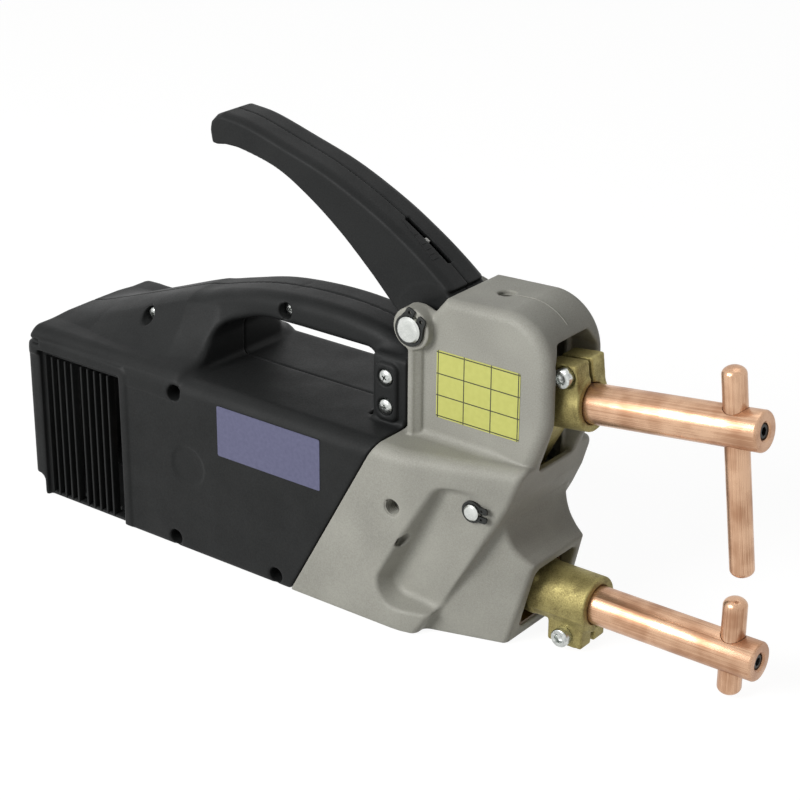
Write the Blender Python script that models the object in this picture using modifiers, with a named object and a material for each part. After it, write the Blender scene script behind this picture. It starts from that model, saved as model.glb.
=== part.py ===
"""Hand-held pincer spot welder: moulded housing, cast head, two copper arms and a squeeze lever.

Sizes are in millimetres and become metres as each mesh is made. +X points along the arms, +Z is up,
the mid-plane of the machine is y = 0 and it stands on z = 0.
"""

import math

import bmesh
import bpy
from mathutils import Matrix, Vector

MM = 0.001

# Driving dimensions of the whole machine
LENGTH_HALF = 220.0
BODY_HALF = 50.0
HEAD_HALF = 24.5
SHOULDER_Z = 99.5
SHOULDER_RADIUS = 10.0
WALL = 4.0
GAP = 0.3
REAR_X = -218.5

# The seam where the housing meets the casting leans forward, then stands upright above the shoulder
SEAM_FOOT_X = -28.8
SEAM_TOP_X = 26.4
SEAM_UPRIGHT_X = 27.7

# Joint axes, all parallel to Y
LEVER_AXIS = (34.1, 156.1)
ARM_AXIS = (79.7, 74.8)
CRANK_EYE = (34.1, 141.1)
ARM_EYE = (62.0, 140.0)

# Copper arms and electrodes
ARM_RADIUS = 10.0
LOWER_ARM_Z = 23.6
UPPER_ARM_TIP = (213.3, 141.5)
UPPER_ARM_TILT = math.radians(6.9)
ELECTRODE_RADIUS = 6.0
ELECTRODE_SETBACK = 15.0

# Handle
HANDLE_HALF = 18.5
FINGER_GAP_REAR_X = -88.0
FINGER_GAP_FRONT_X = 3.0
FINGER_GAP_TOP_Z = 133.0
FINGER_GAP_SWEEP = 17.0

# Head cavity
CAVITY_HALF = 19.6
LEVER_HALF = 15.0
LEVER_HUB_RADIUS = 19.3

for old in list(bpy.data.objects):
    bpy.data.objects.remove(old, do_unlink=True)


def new_collection(name):
    collection = bpy.data.collections.new(name)
    bpy.context.scene.collection.children.link(collection)
    return collection


PARTS = new_collection("spot_welder")
CUTTERS = new_collection("cutters")


def material(name, colour, roughness, metallic=0.0):
    shade = bpy.data.materials.new(name)
    shade.use_nodes = True
    shader = shade.node_tree.nodes["Principled BSDF"]
    shader.inputs["Base Color"].default_value = (*colour, 1.0)
    shader.inputs["Roughness"].default_value = roughness
    shader.inputs["Metallic"].default_value = metallic
    shade.diffuse_color = (*colour, 1.0)
    return shade


BLACK_NYLON = material("black_nylon", (0.022, 0.024, 0.024), 0.55)
CAST_ALUMINIUM = material("cast_aluminium", (0.36, 0.35, 0.32), 0.5, 1.0)
CAST_BRASS = material("cast_brass", (0.30, 0.22, 0.06), 0.4, 1.0)
COPPER = material("copper", (0.50, 0.23, 0.12), 0.3, 1.0)
BRIGHT_STEEL = material("bright_steel", (0.62, 0.63, 0.62), 0.25, 1.0)
BLACK_STEEL = material("black_steel", (0.03, 0.03, 0.03), 0.4, 1.0)
INSULATOR = material("insulating_board", (0.32, 0.22, 0.08), 0.6)
CORE_STEEL = material("core_steel", (0.2, 0.2, 0.22), 0.5, 1.0)
ENAMELLED_WIRE = material("enamelled_wire", (0.35, 0.12, 0.05), 0.4)
CIRCUIT_BOARD = material("circuit_board", (0.02, 0.12, 0.05), 0.5)
WHITE_PLASTIC = material("white_plastic", (0.8, 0.8, 0.78), 0.5)
RUBBER = material("rubber", (0.015, 0.015, 0.015), 0.7)


def empty_on_axis(name, axis):
    empty = bpy.data.objects.new(name, None)
    empty.location = (axis[0] * MM, 0.0, axis[1] * MM)
    PARTS.objects.link(empty)
    return empty


LEVER_PIVOT = empty_on_axis("lever_pivot", LEVER_AXIS)
ARM_PIVOT = empty_on_axis("arm_pivot", ARM_AXIS)
LINK_PIVOT = empty_on_axis("link_pivot", CRANK_EYE)


def carry(piece, pivot):
    """Hangs a moving piece on the empty that marks its joint, and leaves it where it is."""
    piece.parent = pivot
    piece.matrix_parent_inverse = Matrix.Translation(-pivot.location)
    return piece


def place(name, bm, shade):
    """Turns a bmesh drawn in millimetres into an object: a part with a material, or a cutter without one."""
    bmesh.ops.remove_doubles(bm, verts=bm.verts, dist=1e-4)
    bmesh.ops.recalc_face_normals(bm, faces=bm.faces)
    bmesh.ops.scale(bm, vec=(MM, MM, MM), verts=bm.verts)
    mesh = bpy.data.meshes.new(name)
    bm.to_mesh(mesh)
    bm.free()
    piece = bpy.data.objects.new(name, mesh)
    if shade:
        mesh.materials.append(shade)
        mesh.shade_smooth()
        mesh.set_sharp_from_angle(angle=math.radians(30))
        PARTS.objects.link(piece)
    else:
        piece.hide_render = True
        piece.display_type = "WIRE"
        CUTTERS.objects.link(piece)
    return piece


def as_part(piece, shade):
    """Makes a helper shape the start of a part."""
    piece.hide_render = False
    piece.display_type = "TEXTURED"
    CUTTERS.objects.unlink(piece)
    PARTS.objects.link(piece)
    piece.data.materials.append(shade)
    return piece


def boolean(target, operation, tools):
    for tool in tools:
        modifier = target.modifiers.new(operation.lower(), "BOOLEAN")
        modifier.operation = operation
        modifier.object = tool
    return target


def cut(target, *tools):
    return boolean(target, "DIFFERENCE", tools)


def join(target, *tools):
    return boolean(target, "UNION", tools)


def box(name, low, high, shade=None):
    bm = bmesh.new()
    bmesh.ops.create_cube(bm, size=1.0)
    low, high = Vector(low), Vector(high)
    bmesh.ops.scale(bm, vec=high - low, verts=bm.verts)
    bmesh.ops.translate(bm, vec=(low + high) / 2, verts=bm.verts)
    return place(name, bm, shade)


def rod(name, start, end, radius, shade=None, segments=20, end_radius=None):
    """A cylinder, or a cone with its own end radius, from one point to another."""
    start, end = Vector(start), Vector(end)
    bm = bmesh.new()
    bmesh.ops.create_cone(
        bm, cap_ends=True, segments=segments, radius1=radius, radius2=end_radius or radius,
        depth=(end - start).length,
    )
    turn = (end - start).to_track_quat("Z", "Y").to_matrix().to_4x4()
    bmesh.ops.transform(bm, matrix=Matrix.Translation((start + end) / 2) @ turn, verts=bm.verts)
    return place(name, bm, shade)


def cross_rod(name, centre, y0, y1, radius, shade=None, segments=20):
    """A cylinder along Y through a point of the side view."""
    return rod(name, (centre[0], y0, centre[1]), (centre[0], y1, centre[1]), radius, shade, segments)


def turned(name, profile, start, direction, shade=None, steps=20):
    """A turned piece: (radius, distance along the axis) pairs spun with a Screw modifier."""
    mesh = bpy.data.meshes.new(name)
    points = [(radius * MM, 0.0, along * MM) for radius, along in reversed(profile)]
    mesh.from_pydata(points, [(i, i + 1) for i in range(len(points) - 1)], [])
    piece = bpy.data.objects.new(name, mesh)
    screw = piece.modifiers.new("turn", "SCREW")
    screw.steps = screw.render_steps = steps
    screw.use_merge_vertices = True
    screw.merge_threshold = 1e-6
    turn = Vector(direction).to_track_quat("Z", "Y").to_matrix().to_4x4()
    piece.matrix_world = Matrix.Translation(Vector(start) * MM) @ turn
    if shade:
        mesh.materials.append(shade)
        PARTS.objects.link(piece)
    else:
        piece.hide_render = True
        piece.display_type = "WIRE"
        CUTTERS.objects.link(piece)
    return piece


PLANES = {
    "XZ": Matrix(((1, 0, 0, 0), (0, 0, -1, 0), (0, 1, 0, 0), (0, 0, 0, 1))),
    "XY": Matrix.Identity(4),
    "YZ": Matrix(((0, 0, 1, 0), (1, 0, 0, 0), (0, 1, 0, 0), (0, 0, 0, 1))),
}


def prism(name, outline, low, high, shade=None, plane="XZ"):
    """A flat outline given a thickness from low to high across its plane."""
    curve = bpy.data.curves.new(name, "CURVE")
    curve.dimensions = "2D"
    curve.fill_mode = "BOTH"
    curve.extrude = (high - low) / 2
    spline = curve.splines.new("POLY")
    spline.points.add(len(outline) - 1)
    for point, (across, up) in zip(spline.points, outline):
        point.co = (across, up, 0.0, 1.0)
    spline.use_cyclic_u = True
    guide = bpy.data.objects.new(name, curve)
    mesh = bpy.data.meshes.new_from_object(guide)
    bm = bmesh.new()
    bm.from_mesh(mesh)
    bpy.data.objects.remove(guide)
    bpy.data.curves.remove(curve)
    bpy.data.meshes.remove(mesh)
    bmesh.ops.remove_doubles(bm, verts=bm.verts, dist=1e-4)
    bmesh.ops.dissolve_limit(bm, angle_limit=math.radians(0.2), verts=bm.verts, edges=bm.edges)
    middle = (low + high) / 2 * (-1 if plane == "XZ" else 1)
    bmesh.ops.transform(bm, matrix=PLANES[plane] @ Matrix.Translation((0, 0, middle)), verts=bm.verts)
    return place(name, bm, shade)


def loft(name, rings, shade=None):
    """A skin over rings of equally many points, closed by a cap at each end."""
    bm = bmesh.new()
    rows = [[bm.verts.new(point) for point in ring] for ring in rings]
    for near, far in zip(rows, rows[1:]):
        for i in range(len(near)):
            j = (i + 1) % len(near)
            bm.faces.new((near[i], near[j], far[j], far[i]))
    bm.faces.new(rows[0])
    bm.faces.new(rows[-1])
    return place(name, bm, shade)


def arc(centre, radius, start, end, steps=6):
    """Points of a circular arc, with its angles in degrees."""
    turns = [math.radians(start + (end - start) * i / steps) for i in range(steps + 1)]
    return [(centre[0] + radius * math.cos(t), centre[1] + radius * math.sin(t)) for t in turns]


def soften(piece, width, segments=2, angle=50):
    bevel = piece.modifiers.new("soften", "BEVEL")
    bevel.width = width * MM
    bevel.segments = segments
    bevel.limit_method = "ANGLE"
    bevel.angle_limit = math.radians(angle)
    bevel.use_clamp_overlap = True
    return piece


def between(stations, x):
    """Reads a value off (x, value) stations by straight interpolation."""
    for (x0, v0), (x1, v1) in zip(stations, stations[1:]):
        if x <= x1:
            return v0 + (v1 - v0) * (x - x0) / (x1 - x0)
    return stations[-1][1]


# Housing: the lower box, lofted along X through rounded sections
def box_section(x, half, top, foot, shoulder):
    """One closed section of the housing box: flat floor, upright sides and round shoulders."""
    corner = min(2.5, shoulder)
    right = arc((half - corner, foot + corner), corner, -90, 0, 2)
    right += arc((half - shoulder, top - shoulder), shoulder, 0, 90, 5)
    ring = right + [(-y, z) for y, z in reversed(right)]
    return [(x, y, z) for y, z in ring]


def housing_box(name, inset):
    """The box outside at inset 0, or its hollow at the wall thickness."""
    rear = REAR_X + inset
    half = BODY_HALF - inset
    top = SHOULDER_Z - inset
    shoulder = SHOULDER_RADIUS - inset * 0.7
    rings = [
        box_section(rear, half - 5, top - 4, inset + 4, shoulder),
        box_section(rear + 1.5, half - 1.5, top - 1, inset + 1.2, shoulder),
        box_section(rear + 5, half, top, inset, shoulder),
        box_section(60, half, top, inset, shoulder),
    ]
    return loft(name, rings)


# Housing: the handle grows out of the box at full width behind, and narrows to a grip
HANDLE_CREST = [(-217, 103), (-205, 107), (-180, 114), (-155, 122), (-124, 133.5), (-95, 142),
                (-72, 146.5), (-45, 149), (-20, 149), (2, 146.5), (14, 143), (27.7, 138)]
HANDLE_TOP_HALF = [(-217, 40), (-180, 34), (-155, 28), (-124, 22), (-95, HANDLE_HALF), (27.7, HANDLE_HALF)]
HANDLE_FOOT_HALF = [(-217, 48), (-104, 47), (-88, 36), (-70, HANDLE_HALF + 0.5), (27.7, HANDLE_HALF + 0.5)]
HANDLE_ROOT_Z = 90.0
HANDLE_FOOT_Z = 97.0
FLANK_STEPS, FLANK_DISH = 4, 3.0


def handle_section(x, inset):
    """One closed section: a flank that dishes in from the box's shoulder, then a rounded crest."""
    crest = between(HANDLE_CREST, x) - inset
    top = between(HANDLE_TOP_HALF, x) - inset
    foot = between(HANDLE_FOOT_HALF, x) - inset
    edge = min(9.0, top)
    drop = min(edge * 0.8, crest - HANDLE_FOOT_Z - 1.0)
    rim = [(y, crest - drop + v * drop) for y, v in arc((top - edge, 0.0), 1.0, 0, 90, 4)]
    rim = [(top - edge + (y - top + edge) * edge, z) for y, z in rim]
    flank = []
    for step in range(FLANK_STEPS):
        share = step / FLANK_STEPS
        dish = FLANK_DISH * math.sin(math.pi * share) * (foot - top) / HANDLE_HALF
        low, high = (foot, HANDLE_FOOT_Z), rim[0]
        flank.append((low[0] + (high[0] - low[0]) * share - dish, low[1] + (high[1] - low[1]) * share))
    right = [(foot, HANDLE_ROOT_Z)] + flank + rim
    ring = right + [(-y, z) for y, z in reversed(right)]
    return [(x, y, z) for y, z in ring]


def handle_arch(name, inset):
    stations = [-216.5, -205, -180, -155, -140, -124, -114, -104, -96, -88, -80, -70, -45, -20, 2, 14, 27.4]
    first, last = stations[0] + inset, stations[-1]
    inner = [x for x in stations[1:-1] if x > first + 3]
    return loft(name, [handle_section(x, inset) for x in [first] + inner + [last + 2 * inset]])


def finger_gap(name, inset):
    """The hole under the grip, swept back towards each side; its hollow twin is larger by the wall."""
    front, top = FINGER_GAP_FRONT_X + inset, FINGER_GAP_TOP_Z + inset
    radius = 13.0 + inset
    rings = []
    for y in (-70, -48, -36, -24, -12, 12, 24, 36, 48, 70):
        share = min(max((abs(y) - 12) / 36, 0.0), 1.0)
        rear = FINGER_GAP_REAR_X - inset - FINGER_GAP_SWEEP * share ** 0.7
        outline = [(rear - 3, 92.0), (front, 92.0)]
        outline += arc((front - 6, top - 6), 6.0, 0, 90, 3)
        outline += [(rear + radius + 20, top)]
        outline += arc((rear + radius, top - 4 - radius), radius, 90, 180, 5)
        rings.append([(x, y, z) for x, z in outline])
    return loft(name, rings)


SEAM_SLOPE = (SEAM_TOP_X - SEAM_FOOT_X) / SHOULDER_Z


def seam_x(z):
    return SEAM_FOOT_X + SEAM_SLOPE * z


def seam_line(offset, top):
    """The seam in the side view, moved forward by the offset, from below the floor to the top."""
    upright = SEAM_UPRIGHT_X + offset
    leaning = [(seam_x(-10) + offset, -10), (SEAM_TOP_X + offset, SHOULDER_Z)]
    return leaning + [(upright, SHOULDER_Z + 4), (upright, top)]


VENT_FROM_X, VENT_TO_X, VENT_TOP_Z = -213.0, -151.5, 90.0
VENT_DEPTH, VENT_SKIN = 3.5, 8.0
RIB_COUNT, RIB_PITCH, RIB_FIRST_X, RIB_THICK = 10, 5.15, -210.2, 1.3
PAD_SCREWS = ((16.5, 125.0), (16.5, 109.0))
SIDE_SCREWS = ((-107.0, 91.0, 50.0), (-146.5, 115.0, 30.0), (-55.5, 140.0, 18.5), (-109.0, 4.5, 50.0),
               (-38.0, 4.5, 50.0))
SCREW_WELL_DEPTH, SCREW_WELL_RADIUS, SCREW_POST_RADIUS = 7.0, 4.4, 5.0
WITNESS_DISH = (-98.0, 51.0, 11.0)
REAR_NOTCH = (-217.5, 11.0)
BEAD_WIDTH, BEAD_RISE = 4.0, 0.8


def rib_x(index):
    """The sixth rib stands 2 mm further on, over a wider web behind it."""
    return RIB_FIRST_X + index * RIB_PITCH + (2.0 if index >= RIB_COUNT // 2 else 0.0)


def vent_cutters(side):
    """A shallow recess in the side, open at the floor, and slots through the skin between upright ribs."""
    outer = BODY_HALF + 1
    recess = prism(
        f"vent_recess_{side}",
        [(VENT_FROM_X, -1), (VENT_TO_X, -1), (VENT_TO_X, VENT_TOP_Z), (VENT_FROM_X, VENT_TOP_Z)],
        *sorted((side * outer, side * (BODY_HALF - VENT_DEPTH))),
    )
    cutters = [recess]
    ends = [rib_x(i) for i in range(RIB_COUNT)] + [VENT_TO_X + RIB_THICK / 2 - 1.0]
    for index in range(RIB_COUNT):
        low = (ends[index] + RIB_THICK / 2, 6.0)
        high = (ends[index + 1] - RIB_THICK / 2, VENT_TOP_Z - 4.0)
        reach = sorted((side * (BODY_HALF - VENT_DEPTH + 1), side * (BODY_HALF - VENT_SKIN - 2)))
        corners = (low[0], reach[0], low[1]), (high[0], reach[1], high[1])
        cutters.append(box(f"vent_slot_{side}_{index}", *corners))
    return cutters


def vent_bead(name, side):
    """The raised border along the top and the front of the vent recess."""
    top, front = VENT_TOP_Z + BEAD_WIDTH, VENT_TO_X + BEAD_WIDTH
    behind, inner, under = VENT_FROM_X - 2, VENT_TO_X - 2, VENT_TOP_Z - 2
    outline = [(behind, under), (inner, under), (inner, 2.0), (front, 2.0)]
    outline += arc((front - 5, top - 5), 5.0, 0, 90, 3) + [(behind, top)]
    reach = sorted((side * (BODY_HALF - 3), side * (BODY_HALF + BEAD_RISE)))
    return soften(prism(name, outline, *reach), 0.7, 1)


def housing_half(name, side):
    """One moulded half: side -1 is the right hand half and +1 the left."""
    half = as_part(housing_box(name, 0.0), BLACK_NYLON)
    arch = handle_arch(f"{name}_arch", 0.0)
    cut(arch, finger_gap(f"{name}_gap", 0.0))
    block = soften(box(f"{name}_block", (6, -24.6, 92), (40, 24.6, 136)), 3.0)
    join(half, arch, block)
    pad = prism(f"{name}_pad", pad_outline(16.5, 117.0), *sorted((side * 20.0, side * 27.0)))
    join(half, soften(pad, 1.2, 1))
    hollow = housing_box(f"{name}_hollow", WALL)
    skin = sorted((side * (BODY_HALF - VENT_SKIN), side * 60))
    cut(hollow, box(f"{name}_vent_skin", (REAR_X - 2, skin[0], -5), (VENT_TO_X + 6, skin[1], 120)))
    grip_hollow = handle_arch(f"{name}_grip_hollow", WALL)
    cut(grip_hollow, finger_gap(f"{name}_gap_hollow", WALL))
    tab_room = box(f"{name}_tab_room", (2, -21.0, 88), (40, 21.0, 128))
    ahead = prism(f"{name}_seam", seam_line(0.0, 260) + [(260, 260), (260, -10)], -80, 80)
    cut(half, hollow, grip_hollow, tab_room, ahead)
    join(half, vent_bead(f"{name}_bead", side))
    cut(half, *vent_cutters(side))
    for index, (x, z, face) in enumerate(SIDE_SCREWS):
        post_z = max(z, SCREW_POST_RADIUS + 0.5)
        post = sorted((-side * 5, side * (face - 2)))
        join(half, cross_rod(f"{name}_post_{index}", (x, post_z), *post, SCREW_POST_RADIUS, None, 16))
        bore = sorted((-side * 8, side * face))
        cut(half, cross_rod(f"{name}_post_bore_{index}", (x, z), *bore, 2.3, None, 12))
        if side < 0:
            reach = (-face - 20, -face + SCREW_WELL_DEPTH)
            well = cross_rod(f"{name}_well_{index}", (x, z - 0.4), *reach, SCREW_WELL_RADIUS, None, 16)
            cut(half, well)
    if side < 0:
        x, z, radius = WITNESS_DISH
        cut(half, cross_rod("witness_dish", (x, z), -BODY_HALF - 5, -BODY_HALF + 0.6, radius, None, 28))
        cut(half, cross_rod("rear_notch", REAR_NOTCH, -BODY_HALF - 5, -BODY_HALF + 6, 4.5, None, 16))
    cut(half, box(f"{name}_other_side", *other_half(side)))
    room = LEVER_HALF + 1.6
    cut(half, cross_rod(f"{name}_lever_room", LEVER_AXIS, -room, room, LEVER_HUB_RADIUS + 2.2, None, 28))
    inlet = rod(f"{name}_inlet_hole", (REAR_X - 5, 0, INLET_Z), (REAR_X + 12, 0, INLET_Z), INLET_RADIUS + GAP)
    cut(half, inlet)
    for index, (x, z) in enumerate(PAD_SCREWS):
        through, sunk = sorted((side * 15, side * 30)), sorted((side * 25.2, side * 30))
        cut(half, cross_rod(f"{name}_pad_hole_{index}", (x, z), *through, 2.3, None, 12))
        cut(half, cross_rod(f"{name}_pad_sink_{index}", (x, z), *sunk, 4.6, None, 16))
    return half


def pad_outline(x, z):
    """The raised pad with round corners that the two side screws clamp."""
    half_x, half_z, radius = 7.0, 15.5, 4.0
    outline = []
    for sign_x, sign_z, start in ((1, 1, 0), (-1, 1, 90), (-1, -1, 180), (1, -1, 270)):
        corner = (x + sign_x * (half_x - radius), z + sign_z * (half_z - radius))
        outline += arc(corner, radius, start, start + 90, 3)
    return outline


def other_half(side):
    """The box that holds the other half of the machine and the parting gap."""
    if side < 0:
        return (-260, -GAP / 2, -20), (260, 90, 260)
    return (-260, -90, -20), (260, GAP / 2, 260)


INLET_Z, INLET_RADIUS = 34.0, 9.0


def housing():
    housing_half("right_housing_half", -1)
    housing_half("left_housing_half", 1)
    for index, (x, z, face) in enumerate(SIDE_SCREWS):
        seat = -face + SCREW_WELL_DEPTH - GAP
        shank = -seat + 10.0
        profile = [(0, -2.6), (2.6, -2.6), (3.8, -1.4), (3.8, 0.0), (1.9, 0.0), (1.9, shank), (0, shank)]
        turned(f"housing_screw_{index + 1}", profile, (x, seat, z), (0, 1, 0), BRIGHT_STEEL, 14)
    number = 0
    for side in (-1, 1):
        for x, z in PAD_SCREWS:
            number += 1
            profile = [(0, 0), (3.4, 0), (4.2, 1.0), (4.2, 2.2), (1.9, 2.2), (1.9, 11.0), (0, 11.0)]
            face = (x, side * (27.4 + GAP), z)
            turned(f"handle_screw_{number}", profile, face, (0, -side, 0), BRIGHT_STEEL, 14)
    bore, collar, body = INLET_RADIUS - 4.4, INLET_RADIUS + 3.0, INLET_RADIUS - GAP
    bush = [(bore, -1.5), (collar - 1.5, -1.5), (collar, -0.9), (collar, -GAP), (body, -GAP), (body, 9.0),
            (bore, 9.0), (bore, -1.5)]
    turned("cable_inlet_bush", bush, (REAR_X, 0, INLET_Z), (1, 0, 0), RUBBER, 24)


# Head casting: a wide lower body, a nose in front of it and a narrow upper block. The flanks turn in
# towards the front, the nose's sides run parallel to them, and one leaning front rises into the head.
CASTING_FRONT = [(0.0, 51.9), (67.0, 90.7), (80.0, 97.2), (92.0, 101.4), (99.5, 103.8)]
FLANK_TURN_X, FLANK_TAPER = 43.5, 0.31
NOSE_STEP, NOSE_TAPER = 8.2, 0.3
HOLLOW_HALF, CASTING_WALL = 33.0, 10.0


def flank_half(x):
    return BODY_HALF - FLANK_TAPER * max(x - FLANK_TURN_X, 0.0)


def mirrored(right, z):
    """A closed plan section from the points of its left hand side."""
    ring = [(x, -y) for x, y in right] + [(x, y) for x, y in reversed(right)]
    return [(x, y, z) for x, y in ring]


def wide_ring(z, inset, front_inset=0.0):
    """A plan section of the wide body, with a crisp corner where the flank meets the front."""
    front = between(CASTING_FRONT, z) - front_inset
    turn = FLANK_TURN_X
    right = [(seam_x(z) - 12, BODY_HALF), (turn - 4, BODY_HALF), (turn + 4, flank_half(turn + 4))]
    right += [(front - 3, flank_half(front - 3)), (front - 0.9, flank_half(front) - 0.7)]
    right += [(front, flank_half(front) - 2.8)]
    return mirrored([(x, y - inset) for x, y in right], z)


def wide_body(name, shade):
    radius = SHOULDER_RADIUS
    rings = [wide_ring(0.0, 1.5, 1.5)] + [wide_ring(z, 0.0) for z in (1.5, 30.0, 67.0, 80.0)]
    for step in range(0, 5):
        turn = math.radians(22.5 * step)
        rings.append(wide_ring(SHOULDER_Z - radius * (1 - math.sin(turn)), radius * (1 - math.cos(turn))))
    return loft(name, rings, shade)


def hollow_ring(z):
    """A plan section of the wide body's hollow."""
    front = between(CASTING_FRONT, z) - CASTING_WALL
    turn = FLANK_TURN_X + (BODY_HALF - CASTING_WALL - HOLLOW_HALF) / FLANK_TAPER
    right = [(seam_x(z) - 12, HOLLOW_HALF), (min(turn, front - 1.0), HOLLOW_HALF)]
    right += [(front, min(flank_half(front) - CASTING_WALL, HOLLOW_HALF))]
    return mirrored(right, z)


NOSE_ARC = [(106.0, 46.0), (100.5, 49.5), (96.0, 54.0), (93.2, 59.5), (91.8, 66.0), (91.9, 69.4)]
HEAD_FRONT = [(89.6, 66.0), (96.6, 80.0), (100.9, 92.0), (105.6, 104.0), (111.0, 119.0), (112.0, 126.0),
              (112.0, 140.0)]
HEAD_CROWN = arc((85.0, 148.5), 27.0, -15, 88, 6)


def nose(name):
    """The nose: its side outline, narrowed forward by its plan."""
    outline = [(40.0, 1.0), (92.6, 1.0), (94.4, 3.2)] + NOSE_ARC + [(84.0, 74.0), (40.0, 50.0)]
    piece = prism(name, outline, -60, 60)
    rear, front = 30.0, 120.0
    half = BODY_HALF - NOSE_STEP - NOSE_TAPER * (rear - FLANK_TURN_X)
    tip = BODY_HALF - NOSE_STEP - NOSE_TAPER * (front - FLANK_TURN_X)
    corners = [(rear, -half), (front, -tip), (front, tip), (rear, half)]
    plan = prism(f"{name}_plan", corners, -5, 90, None, "XY")
    return soften(boolean(piece, "INTERSECT", [plan]), 3.0, 2, 60)


def spine_outline():
    """Side outline of the upper block, from inside the wide body round the front to the pivot boss."""
    outline = [(40.0, 60.0), (86.0, 60.0)] + HEAD_FRONT + HEAD_CROWN
    outline += [(50.0, 173.6), (43.0, 165.0), (37.0, 166.5)]
    outline += arc(LEVER_AXIS, 10.8, 110, 180, 4)
    outline += [(28.4, 151.0), (28.4, 80.0)]
    return outline


def head_cavity_outline():
    """The hollow behind the front wall, open to the rear and, for the lever, to the top."""
    return [
        (10.0, 6.0), (88.0, 6.0), (92.0, 10.0), (100.0, 43.0), (92.0, 49.0), (88.4, 58.0), (86.4, 66.0),
        (92.8, 80.0), (97.0, 92.0), (101.6, 104.0), (106.6, 119.0), (107.3, 126.0), (107.3, 139.0),
        (100.5, 156.0), (90.0, 166.0), (77.0, 170.0), (49.6, 169.8), (49.6, 190.0), (10.0, 190.0),
    ]


def pocket_outline():
    """The panel sunk in each flank down to a face square to the arm pin; it runs out towards the front."""
    outline = [(120.0, 84.5), (68.0, 84.5)] + arc((66.0, 76.5), 8.0, 90, 150, 3)
    outline += arc((41.0, 24.0), 12.0, 150, 270, 5) + [(120.0, 12.0)]
    return outline


WINDOW_UPPER = [(-15.6, 94.0), (15.6, 94.0), (17.8, 118.0), (18.0, 150.0), (11.0, 161.0), (-11.0, 161.0),
                (-18.0, 150.0), (-17.8, 118.0)]
BOSS_FACE = 29.5
POCKET_FACE = 38.0
PIN_RADIUS = 6.8
ARM_PIN_RADIUS = 4.2
TAB_THICK = 4.6


def head_casting():
    casting = wide_body("head_casting", CAST_ALUMINIUM)
    spine = soften(prism("spine", spine_outline(), -HEAD_HALF, HEAD_HALF), 4.0, 3, 60)
    join(casting, nose("nose"), spine)
    for side in (-1, 1):
        inner, outer = sorted((side * (HEAD_HALF - 4), side * BOSS_FACE))
        join(casting, cross_rod(f"boss_{side}", LEVER_AXIS, inner, outer, 10.8, None, 28))
        rib = box(f"rib_{side}", (32.0, inner, 94.0), (37.0, outer, 150.0))
        join(casting, rib)
        tab = sorted((side * (CAVITY_HALF - TAB_THICK), side * (CAVITY_HALF + 0.9)))
        join(casting, box(f"tab_{side}", (7.0, tab[0], 98.0), (36.0, tab[1], 127.0)))
        pocket = sorted((side * POCKET_FACE, side * 60.0))
        cut(casting, prism(f"pocket_{side}", pocket_outline(), *pocket))
    behind = prism("behind_seam", seam_line(0.6, 140) + [(-120, 140), (-120, -10)], -80, 80)
    keep_tabs = box("tab_room", (-30, -CAVITY_HALF - 1.0, 97.0), (60, CAVITY_HALF + 1.0, 128.0))
    cut(behind, keep_tabs)
    cut(casting, behind)
    wide_hollow = loft("wide_hollow", [hollow_ring(z) for z in (6.0, 30.0, 67.0, 80.0, 92.0)])
    narrow = CAVITY_HALF - TAB_THICK
    cut(casting, wide_hollow, prism("head_hollow", head_cavity_outline(), -narrow, narrow))
    cut(casting, prism("head_hollow_wide", wide_cavity_outline(), -CAVITY_HALF, CAVITY_HALF))
    cut(casting, prism("upper_window", WINDOW_UPPER, 96.0, 125.0, None, "YZ"))
    cut(casting, box("lower_window", (84.0, -18.0, 7.0), (120.0, 18.0, 41.0)))
    cut(casting, cross_rod("lever_bore", LEVER_AXIS, -40, 40, PIN_RADIUS + GAP, None, 24))
    cut(casting, cross_rod("arm_bore", ARM_AXIS, -60, 60, ARM_PIN_RADIUS + GAP, None, 20))
    cut(casting, cross_rod("side_thread", (38.4, 68.5), -60, -36, 4.2, None, 16))
    cut(casting, cross_rod("drain", (45.5, 53.5), -60, -36, 2.4, None, 12))
    cut(casting, rod("top_thread", (70.0, 0, 160), (70.0, 0, 190), 4.2, None, 16))
    for index, (x, z) in enumerate(PAD_SCREWS):
        cut(casting, cross_rod(f"tab_hole_{index}", (x, z), -30, 30, 2.2, None, 12))
    return casting


def wide_cavity_outline():
    """The full-width part of the head hollow, kept clear of the tabs that the handle screws bite."""
    return [(30.0, 6.0)] + head_cavity_outline()[1:] + [(10.0, 129.0), (30.0, 129.0)]


# Pivot pins, held by circlips outside the casting
def pin_set(name, axis, radius, reach, clip_face, heading):
    chamfer = 0.8
    profile = [(0, -reach), (radius - chamfer, -reach), (radius, -reach + chamfer), (radius, reach - chamfer),
               (radius - chamfer, reach), (0, reach)]
    turned(f"{name}_pin", profile, (axis[0], 0, axis[1]), (0, 1, 0), BRIGHT_STEEL, 24)
    for label, side in (("right", -1), ("left", 1)):
        faces = sorted((side * (clip_face + GAP), side * (clip_face + GAP + 1.2)))
        prism(f"{name}_circlip_{label}", circlip_outline(axis, radius + GAP, heading), *faces, BLACK_STEEL)


def circlip_outline(axis, inner, heading):
    """An open ring, broadest at its back, with a square ear at each end; it opens towards the heading."""
    mouth, ear_tall, ear_reach = inner * 0.18, inner * 0.9, inner + 3.8
    opening = math.degrees(math.asin(mouth / inner))
    ring = [(ear_reach - 0.8, mouth), (ear_reach, mouth + 0.8), (ear_reach, ear_tall - 1.2)]
    ring += [(ear_reach - 1.4, ear_tall), (inner * 0.9, ear_tall)]
    ring += arc((-0.3, 0.0), inner + 1.4, 65, 180, 9)
    ring += [(u, -v) for u, v in reversed(ring[:-1])]
    ring += arc((0.0, 0.0), inner, 360 - opening, opening, 18)
    turn = Matrix.Rotation(math.radians(heading), 2)
    return [tuple(Vector(axis) + turn @ Vector(point)) for point in ring]


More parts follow.
